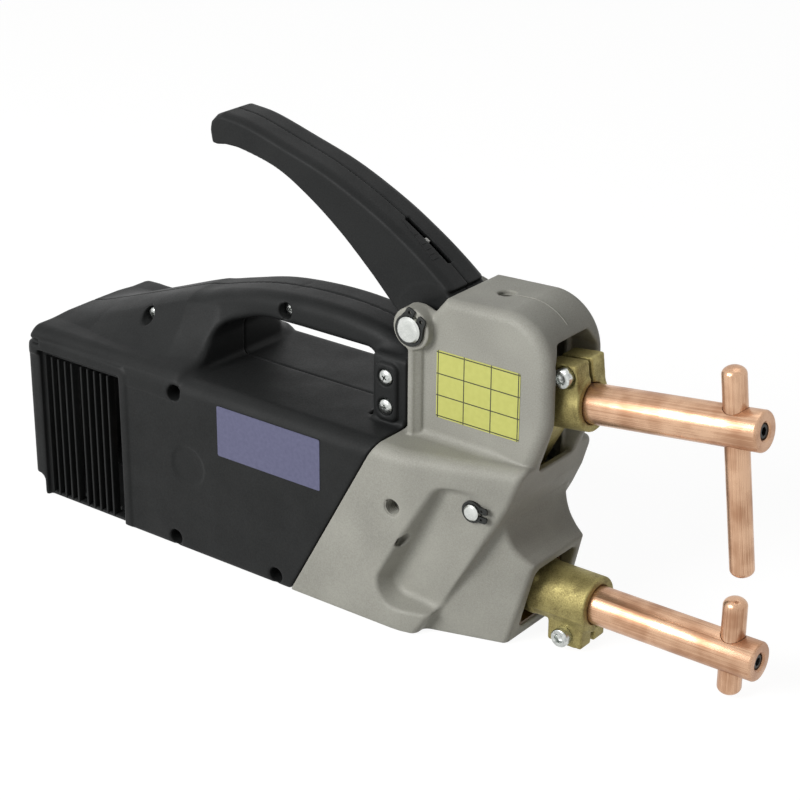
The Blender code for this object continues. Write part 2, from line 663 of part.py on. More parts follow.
# Lower arm: fixed brass clamp on the secondary, copper arm and electrode
def lower_arm_set():
    axis_z = LOWER_ARM_Z
    holder = rod("lower_arm_holder", (96.0, 0, axis_z), (130.0, 0, axis_z), 14.5, CAST_BRASS, 28)
    join(holder, soften(box("lower_tail", (36.0, -12, 13.0), (100.0, 12, 34.5)), 2.0, 1))
    bar_out, bar_in = -CORE_HALF - 0.6, -CORE_HALF + 9.4
    join(holder, box("lower_bar", (-34.0, bar_out, 16.0), (44.0, bar_in, 34.0)))
    join(holder, box("lower_bridge", (34.0, bar_out, 16.0), (44.0, 10.0, 34.0)))
    join(holder, box("lower_flag", (-34.0, bar_out, 30.0), (-10.0, bar_in, 58.0)))
    join(holder, soften(box("lower_lugs", (107.5, -11, 1.4), (127.5, 11, 17.0)), 1.0, 1))
    cut(holder, rod("lower_socket", (84.0, 0, axis_z), (140.0, 0, axis_z), ARM_RADIUS + GAP, None, 28))
    cut(holder, box("lower_slit", (104.0, -1.6, -4.0), (140.0, 1.6, axis_z)))
    cut(holder, cross_rod("lower_bolt_hole", (117.7, 7.2), -30, 30, 3.3, None, 12))
    cut(holder, cross_rod("lower_terminal_hole", TERMINAL, -40, 0, 3.3, None, 12))
    arm = rod("lower_arm", (84.6, 0, axis_z), (LENGTH_HALF, 0, axis_z), ARM_RADIUS, COPPER, 28)
    soften(arm, 0.6, 1)
    seat_x = LENGTH_HALF - ELECTRODE_SETBACK
    cut(arm, rod("lower_eye", (seat_x, 0, -5), (seat_x, 0, 60), ELECTRODE_RADIUS + GAP, None, 24))
    cut(arm, rod("lower_set_hole", (seat_x, 0, axis_z), (LENGTH_HALF + 5, 0, axis_z), 4.0 + GAP, None, 16))
    electrode("lower_electrode", (seat_x, 0, 1.2), (0, 0, 1), 52.2)
    set_screw("lower_set_screw", (LENGTH_HALF - 1.0, 0, axis_z), (-1, 0, 0))
    clamp_bolt("lower_clamp_bolt", (117.7, -11.0 - GAP, 7.2), 24.0)


def electrode(name, foot, direction, length):
    """A copper rod with both ends turned to a dome."""
    radius = ELECTRODE_RADIUS
    turns = [math.radians(t) for t in (60, 30, 0)]
    profile = [(0.0, 0.0)] + [(radius * math.cos(t), radius * 0.7 * (1 - math.sin(t))) for t in turns]
    profile += [(r, length - s) for r, s in reversed(profile)]
    return turned(name, profile, foot, direction, COPPER, 24)


def set_screw(name, face, inward):
    """A grub screw with a hexagon socket, driven against the electrode."""
    length = ELECTRODE_SETBACK - ELECTRODE_RADIUS - 1.0 - 2 * GAP
    start, inward = Vector(face), Vector(inward)
    screw = rod(name, start, start + inward * length, 4.0, BLACK_STEEL, 16)
    cut(screw, rod(f"{name}_socket", start - inward, start + inward * 3.5, 2.3, None, 6))
    return screw


def clamp_bolt(name, head_seat, reach, way=1):
    """A socket head bolt along Y; way 1 has its head on the right hand side, -1 on the left."""
    x, y, z = head_seat
    profile = [(0, -5.0), (4.4, -5.0), (4.9, -4.5), (4.9, 0.0), (3.0, 0.0), (3.0, reach), (0, reach)]
    bolt = turned(name, profile, (x, y, z), (0, way, 0), BRIGHT_STEEL, 18)
    cut(bolt, rod(f"{name}_socket", (x, y - 7 * way, z), (x, y - 2.5 * way, z), 2.6, None, 6))
    return bolt


# Upper arm: a brass rocker on the arm pin, worked by the link behind it
UPPER_ALONG = Vector((math.cos(UPPER_ARM_TILT), 0.0, math.sin(UPPER_ARM_TILT)))
UPPER_ACROSS = Vector((-math.sin(UPPER_ARM_TILT), 0.0, math.cos(UPPER_ARM_TILT)))


def along_upper(distance, rise=0.0):
    """A point of the upper arm, measured back from the middle of its end face."""
    return Vector((UPPER_ARM_TIP[0], 0.0, UPPER_ARM_TIP[1])) - UPPER_ALONG * distance + UPPER_ACROSS * rise


UPPER_CLAMP_FRONT, UPPER_CLAMP_REAR = 92.0, 112.0
ROCKER_HALF, LUG_HALF, BOLT_SEAT = 11.0, 12.7, 11.5
STRAP_BOLT = (75.0, 50.0)


def upper_arm_set():
    rear, front = along_upper(UPPER_CLAMP_REAR), along_upper(UPPER_CLAMP_FRONT)
    holder = rod("upper_arm_holder", rear, front, 14.0, CAST_BRASS, 28)
    web = [(71.8, 69.5), (84.4, 70.0), (90.5, 90.5), (102.0, 112.0), (104.0, 138.0), (62.0, 148.0)]
    web += arc(ARM_EYE, 8.0, 90, 225, 4) + [(71.0, 118.0), (71.8, 96.0)]
    join(holder, prism("rocker_web", web, -ROCKER_HALF, ROCKER_HALF))
    join(holder, cross_rod("rocker_hub", ARM_AXIS, -16.0, 16.0, 8.8, None, 24))
    tail = [(72.4, 75.5)] + arc(STRAP_BOLT, 7.5, 180, 360, 6) + [(85.4, 75.5)]
    join(holder, prism("rocker_tail", tail, -ROCKER_HALF, ROCKER_HALF))
    lug_corners = [along_upper(d, r) for d, r in ((110.0, -1.0), (92.4, -1.0), (92.4, 22.5), (110.0, 22.5))]
    lugs = prism("upper_lugs", [(p.x, p.z) for p in lug_corners], -LUG_HALF, LUG_HALF)
    join(holder, soften(lugs, 1.0, 1))
    cut(holder, rod("upper_socket", along_upper(108.0), along_upper(70.0), ARM_RADIUS + GAP, None, 28))
    slit = [along_upper(d, r) for d, r in ((116.0, 0.0), (70.0, 0.0), (70.0, 30.0), (116.0, 30.0))]
    cut(holder, prism("upper_slit", [(p.x, p.z) for p in slit], -1.6, 1.6))
    bolt_at = along_upper(99.0, 16.5)
    cut(holder, cross_rod("upper_bolt_hole", (bolt_at.x, bolt_at.z), -30, 30, 3.3, None, 12))
    cut(holder, cross_rod("upper_bolt_seat", (bolt_at.x, bolt_at.z), -30, -BOLT_SEAT, 5.6, None, 20))
    cut(holder, cross_rod("rocker_bore", ARM_AXIS, -40, 40, 6.0, None, 20))
    cut(holder, box("link_slot", (48.0, -5.6, 128.0), (71.5, 5.6, 152.0)))
    cut(holder, cross_rod("arm_eye_bore", ARM_EYE, -30, 30, 3.0 + GAP, None, 16))
    cut(holder, cross_rod("strap_bore", STRAP_BOLT, -30, 30, 3.0 + GAP, None, 12))
    arm = rod("upper_arm", along_upper(107.4), along_upper(0.0), ARM_RADIUS, COPPER, 28)
    soften(arm, 0.6, 1)
    seat = along_upper(ELECTRODE_SETBACK)
    reach = UPPER_ACROSS * 30
    cut(arm, rod("upper_eye", seat - reach, seat + reach, ELECTRODE_RADIUS + GAP, None, 24))
    cut(arm, rod("upper_set_hole", seat, along_upper(-5.0), 4.0 + GAP, None, 16))
    tip = electrode("upper_electrode", seat - UPPER_ACROSS * 75.0, UPPER_ACROSS, 104.9)
    screw = set_screw("upper_set_screw", along_upper(1.0), -UPPER_ALONG)
    bolt = clamp_bolt("upper_clamp_bolt", (bolt_at.x, -BOLT_SEAT - GAP, bolt_at.z), 24.0)
    bore = ARM_PIN_RADIUS + GAP
    bush = [(bore, -16.0), (5.7, -16.0), (5.7, 16.0), (bore, 16.0), (bore, -16.0)]
    sleeve = turned("arm_pivot_bush", bush, (ARM_AXIS[0], 0, ARM_AXIS[1]), (0, 1, 0), INSULATOR, 20)
    eye_pin = cross_rod("arm_link_pin", ARM_EYE, -ROCKER_HALF, ROCKER_HALF, 3.0, BRIGHT_STEEL, 16)
    strap_bolt = clamp_bolt("strap_bolt", (STRAP_BOLT[0], 14.3 + GAP, STRAP_BOLT[1]), 22.0, -1)
    for piece in (holder, arm, tip, screw, bolt, sleeve, eye_pin, strap_bolt):
        carry(piece, ARM_PIVOT)


# Squeeze lever: two moulded halves round a steel crank
LEVER_TOP = [(-100.5, 236.5), (-84.0, 234.5), (-59.0, 227.5), (-30.0, 218.5), (-1.0, 205.5), (20.0, 193.5),
             (35.0, 183.5), (47.6, 174.0)]
LEVER_BOTTOM = [(-104.5, 220.5), (-86.0, 219.5), (-63.0, 214.0), (-42.0, 203.0), (-22.0, 189.0),
                (-4.0, 173.5), (8.0, 162.0), (16.0, 154.0)]
LEVER_TIP_HALF, LEVER_ROOT_HALF = 14.0, LEVER_HALF
CRANK_HALF = 11.1


def lever_section(index, inset):
    top, bottom = Vector(LEVER_TOP[index]), Vector(LEVER_BOTTOM[index])
    middle, up = (top + bottom) / 2, (top - bottom).normalized()
    tall = (top - bottom).length / 2 - inset
    share = index / (len(LEVER_TOP) - 1)
    half = LEVER_TIP_HALF + (LEVER_ROOT_HALF - LEVER_TIP_HALF) * share - inset
    edge = max(min(5.0, tall - 0.5) - inset * 0.5, 1.0)
    right = arc((half - 2.0, -tall + 2.0), 2.0, -90, 0, 2) + arc((half - edge, tall - edge), edge, 0, 90, 3)
    ring = right + [(-y, v) for y, v in reversed(right)]
    return [(middle.x + up.x * v, y, middle.y + up.y * v) for y, v in ring]


def lever_loft(name, inset):
    order = range(len(LEVER_TOP))
    rings = [lever_section(i, inset) for i in order]
    if inset == 0.0:
        for reach, narrow, low in ((2.8, 0.93, 0.10), (4.6, 0.76, 0.36)):
            tip = [(x - reach, y * narrow, z + (224.0 - z) * low) for x, y, z in rings[-len(LEVER_TOP)]]
            rings.insert(0, tip)
    return loft(name, rings)


SLOT_REAR, SLOT_FRONT = (5.5, 200.0), (33.0, 185.0)
POINTER_AT = (21.6, 191.2)
SLOT_HALF = 1.9


def slot_heading():
    return Vector((SLOT_FRONT[0] - SLOT_REAR[0], 0.0, SLOT_FRONT[1] - SLOT_REAR[1])).normalized()


def lever_half(name, side):
    half = as_part(lever_loft(name, 0.0), BLACK_NYLON)
    join(half, cross_rod(f"{name}_hub", LEVER_AXIS, -LEVER_HALF, LEVER_HALF, LEVER_HUB_RADIUS, None, 32))
    hollow = lever_loft(f"{name}_hollow", 2.6)
    join(hollow, cross_rod(f"{name}_hub_hollow", LEVER_AXIS, -11.4, 11.4, 16.0, None, 28))
    mouth = box(f"{name}_mouth", (24.0, -11.4, 130.0), (60.0, 11.4, 152.0))
    cut(half, hollow, mouth)
    (rear_x, rear_z), (front_x, front_z) = SLOT_REAR, SLOT_FRONT
    slot = [(rear_x, rear_z - 12), (front_x, front_z - 12)]
    slot += [(front_x + 6, front_z + 9), (rear_x + 6, rear_z + 9)]
    cut(half, prism(f"{name}_slot", slot, -SLOT_HALF, SLOT_HALF))
    cut(half, cross_rod(f"{name}_bore", LEVER_AXIS, -40, 40, PIN_RADIUS + GAP, None, 24))
    cut(half, box(f"{name}_other_side", *other_half(side)))
    return carry(half, LEVER_PIVOT)


def lever_set():
    lever_half("lever_right_half", -1)
    lever_half("lever_left_half", 1)
    crank = prism("lever_crank", crank_outline(), -CRANK_HALF, CRANK_HALF, BRIGHT_STEEL)
    lug = [(LEVER_AXIS[0] - 6, LEVER_AXIS[1]), (LEVER_AXIS[0] + 8, LEVER_AXIS[1])]
    lug += [(p.x, p.z) for p in (on_force_axis(24.0, 4.5), on_force_axis(19.5, 4.5))]
    join(crank, prism("crank_lug", lug, -5.0, 5.0))
    cut(crank, rod("guide_rod_hole", on_force_axis(10.0), on_force_axis(30.0), 2.0 + GAP, None, 12))
    cut(crank, cross_rod("crank_bore", LEVER_AXIS, -30, 30, PIN_RADIUS + GAP, None, 24))
    cut(crank, box("crank_slot", (20.0, -5.5, 130.0), (60.0, 5.5, 147.9)))
    cut(crank, cross_rod("crank_eye_bore", CRANK_EYE, -30, 30, 3.0 + GAP, None, 16))
    pin = cross_rod("crank_pin", CRANK_EYE, -CRANK_HALF, CRANK_HALF, 3.0, BRIGHT_STEEL, 16)
    link = prism("toggle_link", link_outline(), -5.0, 5.0, BRIGHT_STEEL)
    cut(link, cross_rod("link_bore_rear", CRANK_EYE, -30, 30, 3.0 + GAP, None, 16))
    cut(link, cross_rod("link_bore_front", ARM_EYE, -30, 30, 3.0 + 0.6, None, 16))
    carry(link, LINK_PIVOT)
    for piece in (crank, pin, force_spring(), force_rod(), force_pointer()):
        carry(piece, LEVER_PIVOT)
    return_spring()


def crank_outline():
    """A boss round the lever pin, a tongue up into the lever and the crank eye below."""
    outline = arc(LEVER_AXIS, 10.5, -20, 100, 5) + [(23.0, 170.5), (14.0, 166.5)]
    return outline + arc(LEVER_AXIS, 10.5, 170, 200, 2) + arc(CRANK_EYE, 6.2, 180, 360, 6)


def link_outline():
    """A flat bar with a round eye at each end."""
    return arc(CRANK_EYE, 5.6, 90, 270, 6) + arc(ARM_EYE, 5.6, 270, 450, 6)


FORCE_DROP = 10.5


def on_force_axis(along, rise=0.0):
    """A point by the force spring's axis, measured along the slot from below the pointer."""
    heading = slot_heading()
    up = Vector((-heading.z, 0.0, heading.x))
    return Vector((POINTER_AT[0], 0.0, POINTER_AT[1])) + up * (rise - FORCE_DROP) + heading * along


def force_rod():
    return rod("force_guide_rod", on_force_axis(-24.0), on_force_axis(25.0), 2.0, BRIGHT_STEEL, 12)


def force_pointer():
    """The white pointer: a carriage on the guide rod with a finger up into the slot."""
    carriage = rod("force_pointer", on_force_axis(-3.0), on_force_axis(3.0), 5.0, WHITE_PLASTIC, 12)
    corners = ((-1.5, 0), (1.5, 0), (1.5, FORCE_DROP), (-1.5, FORCE_DROP))
    finger = [on_force_axis(along, rise) for along, rise in corners]
    join(carriage, prism("pointer_finger", [(p.x, p.z) for p in finger], -1.3, 1.3))
    cut(carriage, rod("pointer_bore", on_force_axis(-9.0), on_force_axis(9.0), 2.0 + GAP, None, 12))
    return carriage


def helix(name, start, axis, side_way, radius, wire, pitch, turns, shade):
    """A coil spring on a POLY spline; prints the least gap between neighbouring turns."""
    points_per_turn = 10
    third = Vector(axis).cross(Vector(side_way))
    points = []
    for i in range(int(turns * points_per_turn) + 1):
        turn = 2 * math.pi * i / points_per_turn
        points.append(
            Vector(start) + Vector(axis) * (pitch * i / points_per_turn)
            + Vector(side_way) * (radius * math.cos(turn)) + third * (radius * math.sin(turn))
        )
    apart = min(
        (points[i] - points[j]).length
        for i in range(len(points)) for j in range(i + points_per_turn // 2, len(points))
    )
    print(f"{name}: least gap between turns {apart - 2 * wire:.2f} mm")
    curve = bpy.data.curves.new(name, "CURVE")
    curve.dimensions = "3D"
    curve.bevel_depth = wire * MM
    curve.bevel_resolution = 1
    curve.use_fill_caps = True
    spline = curve.splines.new("POLY")
    spline.points.add(len(points) - 1)
    for point, where in zip(spline.points, points):
        point.co = (*(where * MM), 1.0)
    spring = bpy.data.objects.new(name, curve)
    curve.materials.append(shade)
    PARTS.objects.link(spring)
    return spring


def force_spring():
    start, heading = on_force_axis(6.0), slot_heading()
    return helix("force_spring", start, heading, (0, 1, 0), 3.6, 0.6, 2.4, 5, BRIGHT_STEEL)


def return_spring():
    start = (LEVER_AXIS[0], -18.9, LEVER_AXIS[1])
    return helix("return_spring", start, (0, 1, 0), (0, 0, 1), 7.7, 0.55, 1.6, 1.75, BRIGHT_STEEL)


# Inside: transformer, secondary loop, strap, switch and board
CORE_X, CORE_Z, CORE_HALF, CORE_LIMB = (-150.0, -40.0), (10.8, 84.5), 30.0, 24.0
COIL_DEPTH = 10.0
TERMINAL = (-22.0, 47.0)
SECONDARY_Z = (36.0, 60.0)


def transformer():
    (rear, front), (foot, head), limb = CORE_X, CORE_Z, CORE_LIMB
    core = box("transformer_core", (rear, -CORE_HALF, foot), (front, CORE_HALF, head), CORE_STEEL)
    cut(core, box("core_window", (rear + limb, -40, foot + limb), (front - limb, 40, head - limb)))
    coil = CORE_HALF + COIL_DEPTH
    low = (rear - COIL_DEPTH, -coil, foot + limb + GAP)
    winding = box("primary_winding", low, (rear + limb + COIL_DEPTH, coil, head - limb - GAP), ENAMELLED_WIRE)
    soften(winding, 6.0, 2)
    side = CORE_HALF + GAP
    cut(winding, box("winding_core_room", (rear - GAP, -side, 20), (rear + limb + GAP, side, 80)))
    inner, outer = CORE_HALF + 1.0, CORE_HALF + 7.0
    back = front - limb - 8.0
    loop = [(-14.0, -outer), (-14.0, -inner), (back, -inner), (back, inner), (-14.0, inner), (-14.0, outer),
            (back - 6.0, outer), (back - 6.0, -outer)]
    secondary = prism("secondary_loop", loop, *SECONDARY_Z, COPPER, "XY")
    cut(secondary, cross_rod("secondary_holes", TERMINAL, -60, 60, 3.3, None, 12))
    clamp_bolt("terminal_bolt_right", (TERMINAL[0], -outer - GAP, TERMINAL[1]), 22.0)
    clamp_bolt("terminal_bolt_left", (TERMINAL[0], outer + GAP, TERMINAL[1]), 16.0, -1)
    strap_end, strap_half = inner - GAP - 1.4, 1.4
    path = [(-34.0, strap_end), (-8.0, strap_end), (6.0, strap_end - 2), (20.0, strap_end - 7), (34.0, 16.0),
            (46.0, 13.4), (56.0, 12.9), (84.0, 12.9)]
    strip = [(x, y + strap_half) for x, y in path] + [(x, y - strap_half) for x, y in reversed(path)]
    strap = prism("flexible_strap", strip, 41.5, 60.0, COPPER, "XY")
    cut(strap, cross_rod("strap_hole", STRAP_BOLT, 5, 30, 6.0, None, 16))
    cut(strap, cross_rod("strap_rear_hole", TERMINAL, 5, 40, 3.3, None, 12))


# The rocker's tail presses the weld switch when the tips close
SWITCH_LOW, SWITCH_HIGH = (46.0, -7.0, 40.9), (61.0, 7.0, 56.5)
PLUNGER_TIP_X, PLUNGER_Z = 67.0, 50.0


def switch_and_board():
    underside = CORE_Z[1] + GAP
    box("control_board", (-97.0, -17.0, underside), (-43.0, 17.0, underside + 1.6), CIRCUIT_BOARD)
    switch = box("weld_switch", SWITCH_LOW, SWITCH_HIGH, BLACK_NYLON)
    bore_start = (SWITCH_HIGH[0] - 7.0, 0, PLUNGER_Z)
    cut(switch, rod("plunger_bore", bore_start, (SWITCH_HIGH[0] + 5, 0, PLUNGER_Z), 2.0 + GAP, None, 12))
    rear, tip = (SWITCH_HIGH[0] - 3.0, 0, PLUNGER_Z), (PLUNGER_TIP_X, 0, PLUNGER_Z)
    rod("switch_plunger", rear, tip, 2.0, WHITE_PLASTIC, 12)


def insulators():
    liner = box("lower_insulator", (45.0, -17.6, 7.4), (95.0, 17.6, 40.6), INSULATOR)
    cut(liner, box("liner_bore", (40.0, -16.0, 8.7), (120.0, 16.0, 39.2)))


housing()
head_casting()
pin_set("lever_pivot", LEVER_AXIS, PIN_RADIUS, BOSS_FACE + 2.9, BOSS_FACE, 63.0)
pin_set("arm_pivot", ARM_AXIS, ARM_PIN_RADIUS, POCKET_FACE + 2.7, POCKET_FACE, -2.0)
lower_arm_set()
upper_arm_set()
lever_set()
transformer()
switch_and_board()
insulators()
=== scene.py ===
import math

import bmesh
import bpy
import numpy as np
from mathutils import Matrix, Vector


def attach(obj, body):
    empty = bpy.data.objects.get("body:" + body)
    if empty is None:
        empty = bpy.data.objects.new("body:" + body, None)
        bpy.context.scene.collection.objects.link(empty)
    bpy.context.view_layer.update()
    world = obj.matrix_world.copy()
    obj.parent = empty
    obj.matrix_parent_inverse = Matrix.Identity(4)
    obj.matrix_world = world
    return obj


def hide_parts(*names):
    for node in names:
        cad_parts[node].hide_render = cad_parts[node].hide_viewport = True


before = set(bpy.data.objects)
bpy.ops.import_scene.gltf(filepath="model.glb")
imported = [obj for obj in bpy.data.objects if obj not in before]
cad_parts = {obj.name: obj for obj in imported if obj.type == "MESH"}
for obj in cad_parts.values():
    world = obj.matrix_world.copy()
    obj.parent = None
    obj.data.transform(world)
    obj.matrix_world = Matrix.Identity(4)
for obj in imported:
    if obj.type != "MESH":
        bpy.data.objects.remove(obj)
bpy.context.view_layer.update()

# Head casting: one aluminium casting that carries the pivots and both arms. It is gravity cast,
# bead blasted all over, and only the bores and threads are machined. Shapes are drawn in millimetres
# as fields that are negative inside the metal, so that every edge and corner can be given its radius.
MM = 0.001


def colour(code):
    """An sRGB hex colour as linear light."""
    parts = [int(code[i:i + 2], 16) / 255 for i in (1, 3, 5)]
    return (*(c / 12.92 if c <= 0.04045 else ((c + 0.055) / 1.055) ** 2.4 for c in parts), 1.0)


def feed(tree, made, sockets):
    """Sets a node's inputs, each to a plain value, to an output or to a node's first output."""
    for name, value in sockets.items():
        if isinstance(value, bpy.types.Node):
            value = value.outputs[0]
        if isinstance(value, bpy.types.NodeSocket):
            tree.links.new(value, made.inputs[name])
        else:
            made.inputs[name].default_value = value


def add(tree, kind, sockets=None, **settings):
    """Adds a node with its settings and inputs."""
    made = tree.nodes.new(kind)
    for name, value in settings.items():
        setattr(made, name, value)
    feed(tree, made, sockets or {})
    return made


def finish(name, *mottles):
    """A new material: itself, its tree, its Object coordinates and a noise for each mottle's size in mm and detail."""
    made = bpy.data.materials.new(name)
    made.use_nodes = True
    tree = made.node_tree
    here = add(tree, "ShaderNodeTexCoord").outputs["Object"]
    noises = [add(tree, "ShaderNodeTexNoise", {"Vector": here, "Scale": 1 / (size * MM), "Detail": detail})
              for size, detail in mottles]
    return made, tree, here, *noises


def stretched_sum(tree, one, other, low, high):
    """The sum of two patterns, stretched so that low becomes 0 and high becomes 1."""
    total = add(tree, "ShaderNodeMath", {0: one, 1: other}, operation="ADD")
    return add(tree, "ShaderNodeMapRange", {"Value": total, "From Min": low, "From Max": high})


def coat(tree, pattern, height, tones, dull, relief, **constants):
    """Tints and dulls a surface by one pattern, between two tones, and roughens it by another. Its dullness is one
    value or two, its relief a strength and a depth in mm, and constants go straight to the shader."""
    shader = tree.nodes["Principled BSDF"]
    ends = {0: pattern, 6: colour(tones[0]), 7: colour(tones[1])}
    tone = add(tree, "ShaderNodeMix", ends, data_type="RGBA").outputs[2]
    if isinstance(dull, tuple):
        dull = add(tree, "ShaderNodeMapRange", {"Value": pattern, "To Min": dull[0], "To Max": dull[1]})
    bump = add(tree, "ShaderNodeBump", {"Height": height, "Strength": relief[0], "Distance": relief[1] * MM})
    feed(tree, shader, {"Base Color": tone, "Roughness": dull, "Normal": bump})
    feed(tree, shader, {name.replace("_", " "): value for name, value in constants.items()})
    return tone


def ramp(x, stations, values):
    """Reads straight lines through stations along an axis."""
    return np.interp(x, stations, values).astype(np.float32)


def radial(x, z, axis):
    """Distance from an axis across the machine."""
    return np.hypot(x - axis[0], z - axis[1])


def corner(a, b, radius):
    """What two bodies share, with the edge between their faces rounded."""
    reach = np.sqrt(np.maximum(a + radius, 0) ** 2 + np.maximum(b + radius, 0) ** 2)
    return np.minimum(np.maximum(a, b), -radius) + reach


def weld(a, b, radius):
    """Two bodies made one, with a fillet between them."""
    return -corner(-a, -b, radius)


def carve(a, b, radius):
    """The first body less the second, with the new edge rounded."""
    return corner(a, -b, radius)


def slab(where, low, high, edge=0.0):
    """A block with round edges."""
    parts = [np.abs(c - (a + b) / 2) - (b - a) / 2 for c, a, b in zip(where, low, high)]
    return corner(corner(parts[0], parts[1], edge), parts[2], edge)


def bar(where, start, end, radius, edge=0.0):
    """A round bar from one point to another."""
    length = math.dist(start, end)
    axis = [(b - a) / length for a, b in zip(start, end)]
    off = [c - a for c, a in zip(where, start)]
    along = sum(o * n for o, n in zip(off, axis))
    across = np.sqrt(np.maximum(sum(o * o for o in off) - along * along, 0))
    return corner(across - radius, np.abs(along - length / 2) - length / 2, edge)


def cross_bar(where, centre, radius, low, high, edge=0.0):
    """A round bar across the machine through a point of its side view."""
    return bar(where, (centre[0], low, centre[1]), (centre[0], high, centre[1]), radius, edge)


def outline(points, u, v):
    """Distance from a closed outline, negative inside."""
    best = np.float32(1e9)
    inside = np.False_
    for (u0, v0), (u1, v1) in zip(points, points[1:] + points[:1]):
        du, dv = u1 - u0, v1 - v0
        share = np.clip(((u - u0) * du + (v - v0) * dv) / (du * du + dv * dv or 1), 0, 1)
        best = np.minimum(best, (u - u0 - share * du) ** 2 + (v - v0 - share * dv) ** 2)
        inside = inside ^ (((v0 > v) != (v1 > v)) & (u < u0 + (v - v0) * du / (dv or 1e-9)))
    return (np.where(inside, -1, 1) * np.sqrt(best)).astype(np.float32)


def bend(centre, radius, start, end, steps=12):
    """Points of an arc, with its angles in degrees."""
    turns = [math.radians(start + (end - start) * i / steps) for i in range(steps + 1)]
    return [(centre[0] + radius * math.cos(t), centre[1] + radius * math.sin(t)) for t in turns]


def smooth_line(points, steps=8):
    """A smooth curve through points, as many short straight lines."""
    spots = np.array(points, dtype=float)
    ends = [2 * spots[0] - spots[1], *spots, 2 * spots[-1] - spots[-2]]
    line = []
    for a, b, c, d in zip(ends, ends[1:], ends[2:], ends[3:]):
        for t in np.arange(steps) / steps:
            cubic = 2 * b + (c - a) * t + (2 * a - 5 * b + 4 * c - d) * t ** 2 + (3 * b - a - 3 * c + d) * t ** 3
            line.append(tuple(cubic / 2))
    return line + [tuple(points[-1])]


def put(name, data):
    """A new object in the scene."""
    piece = bpy.data.objects.new(name, data)
    bpy.context.scene.collection.objects.link(piece)
    return piece


def skin(name, draw, low, high, step, *given):
    """Meshes a field's surface: a point in each cell that it crosses and a quad over each edge that it cuts."""
    axes = [np.arange(a, b + step, step, dtype=np.float32) for a, b in zip(low, high)]
    field = draw(np.meshgrid(*axes, indexing="ij", sparse=True), *given)
    cells = tuple(n - 1 for n in field.shape)
    where, hits = np.zeros((3, *cells), np.float32), np.zeros(cells, np.float32)
    cuts = []
    for axis in range(3):
        order = (axis, (axis + 1) % 3, (axis + 2) % 3)
        turned_field = field.transpose(order)
        near, far = turned_field[:-1], turned_field[1:]
        cut = (near < 0) != (far < 0)
        share = np.where(cut, near / np.where(cut, near - far, 1), 0)
        wide, tall = cut.shape[1] - 1, cut.shape[2] - 1
        for du in (0, 1):
            for dv in (0, 1):
                part = (slice(None), slice(du, wide + du), slice(dv, tall + dv))
                hits.transpose(order)[...] += cut[part]
                where[order[0]].transpose(order)[...] += share[part]
                where[order[1]].transpose(order)[...] += du * cut[part]
                where[order[2]].transpose(order)[...] += dv * cut[part]
        cuts.append((order, cut, near))
    used = hits > 0
    number = np.zeros(cells, np.int64)
    number[used] = np.arange(used.sum())
    points = (np.argwhere(used) + (where[:, used] / hits[used]).T) * step + np.array(low)
    quads = []
    for order, cut, near in cuts:
        a, b, c = np.nonzero(cut[:, 1:-1, 1:-1])
        ids = number.transpose(order)
        ring = np.stack([ids[a, b, c], ids[a, b + 1, c], ids[a, b + 1, c + 1], ids[a, b, c + 1]], 1)
        out = near[a, b + 1, c + 1] < 0
        quads.append(np.where(out[:, None], ring, ring[:, ::-1]))
    mesh = bpy.data.meshes.new(name)
    mesh.from_pydata((points * MM).tolist(), [], np.concatenate(quads).tolist())
    mesh.shade_smooth()
    piece = put(name, mesh)
    triangles, most = 2 * len(mesh.polygons), 190000
    if triangles > most:
        thin = piece.modifiers.new("thin", "DECIMATE")
        thin.ratio = most / triangles
        settle(piece)
    return piece


def settle(piece):
    """Makes a piece's modifiers part of its mesh."""
    graph = bpy.context.evaluated_depsgraph_get()
    mesh = bpy.data.meshes.new_from_object(piece.evaluated_get(graph))
    piece.modifiers.clear()
    piece.data = mesh
    return piece


def fit(piece, body, slot, surface, *nodes):
    """Gives a finished piece its material, and hangs it on its body in place of the nodes."""
    piece.data.materials.clear()
    piece.data.materials.append(surface)
    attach(piece, body)
    if nodes:
        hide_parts(*nodes)
    return piece


lever_axis, arm_axis = (34.1, 156.1), (79.7, 74.8)
pad_screws = ((16.5, 125.0), (16.5, 109.0))
side_hole, top_hole_x, thread_bore = (38.4, 68.5), 70, 4.4
body_half, shoulder_z = 50, 99.5
head_half, boss_half, boss_radius, panel_half = 24.5, 29.5, 10.8, 38
crown, crown_radius = (85, 148.5), 27


def past_seam(x, z):
    """Distance past the face where the housing meets the casting, which leans up to the shoulder and then stands."""
    seam_x = ramp(z, (-10, shoulder_z, shoulder_z + 4), (-34.35, 26.4, 27.7))
    return (x - seam_x) * np.where(z < shoulder_z, 0.875, 1).astype(np.float32)


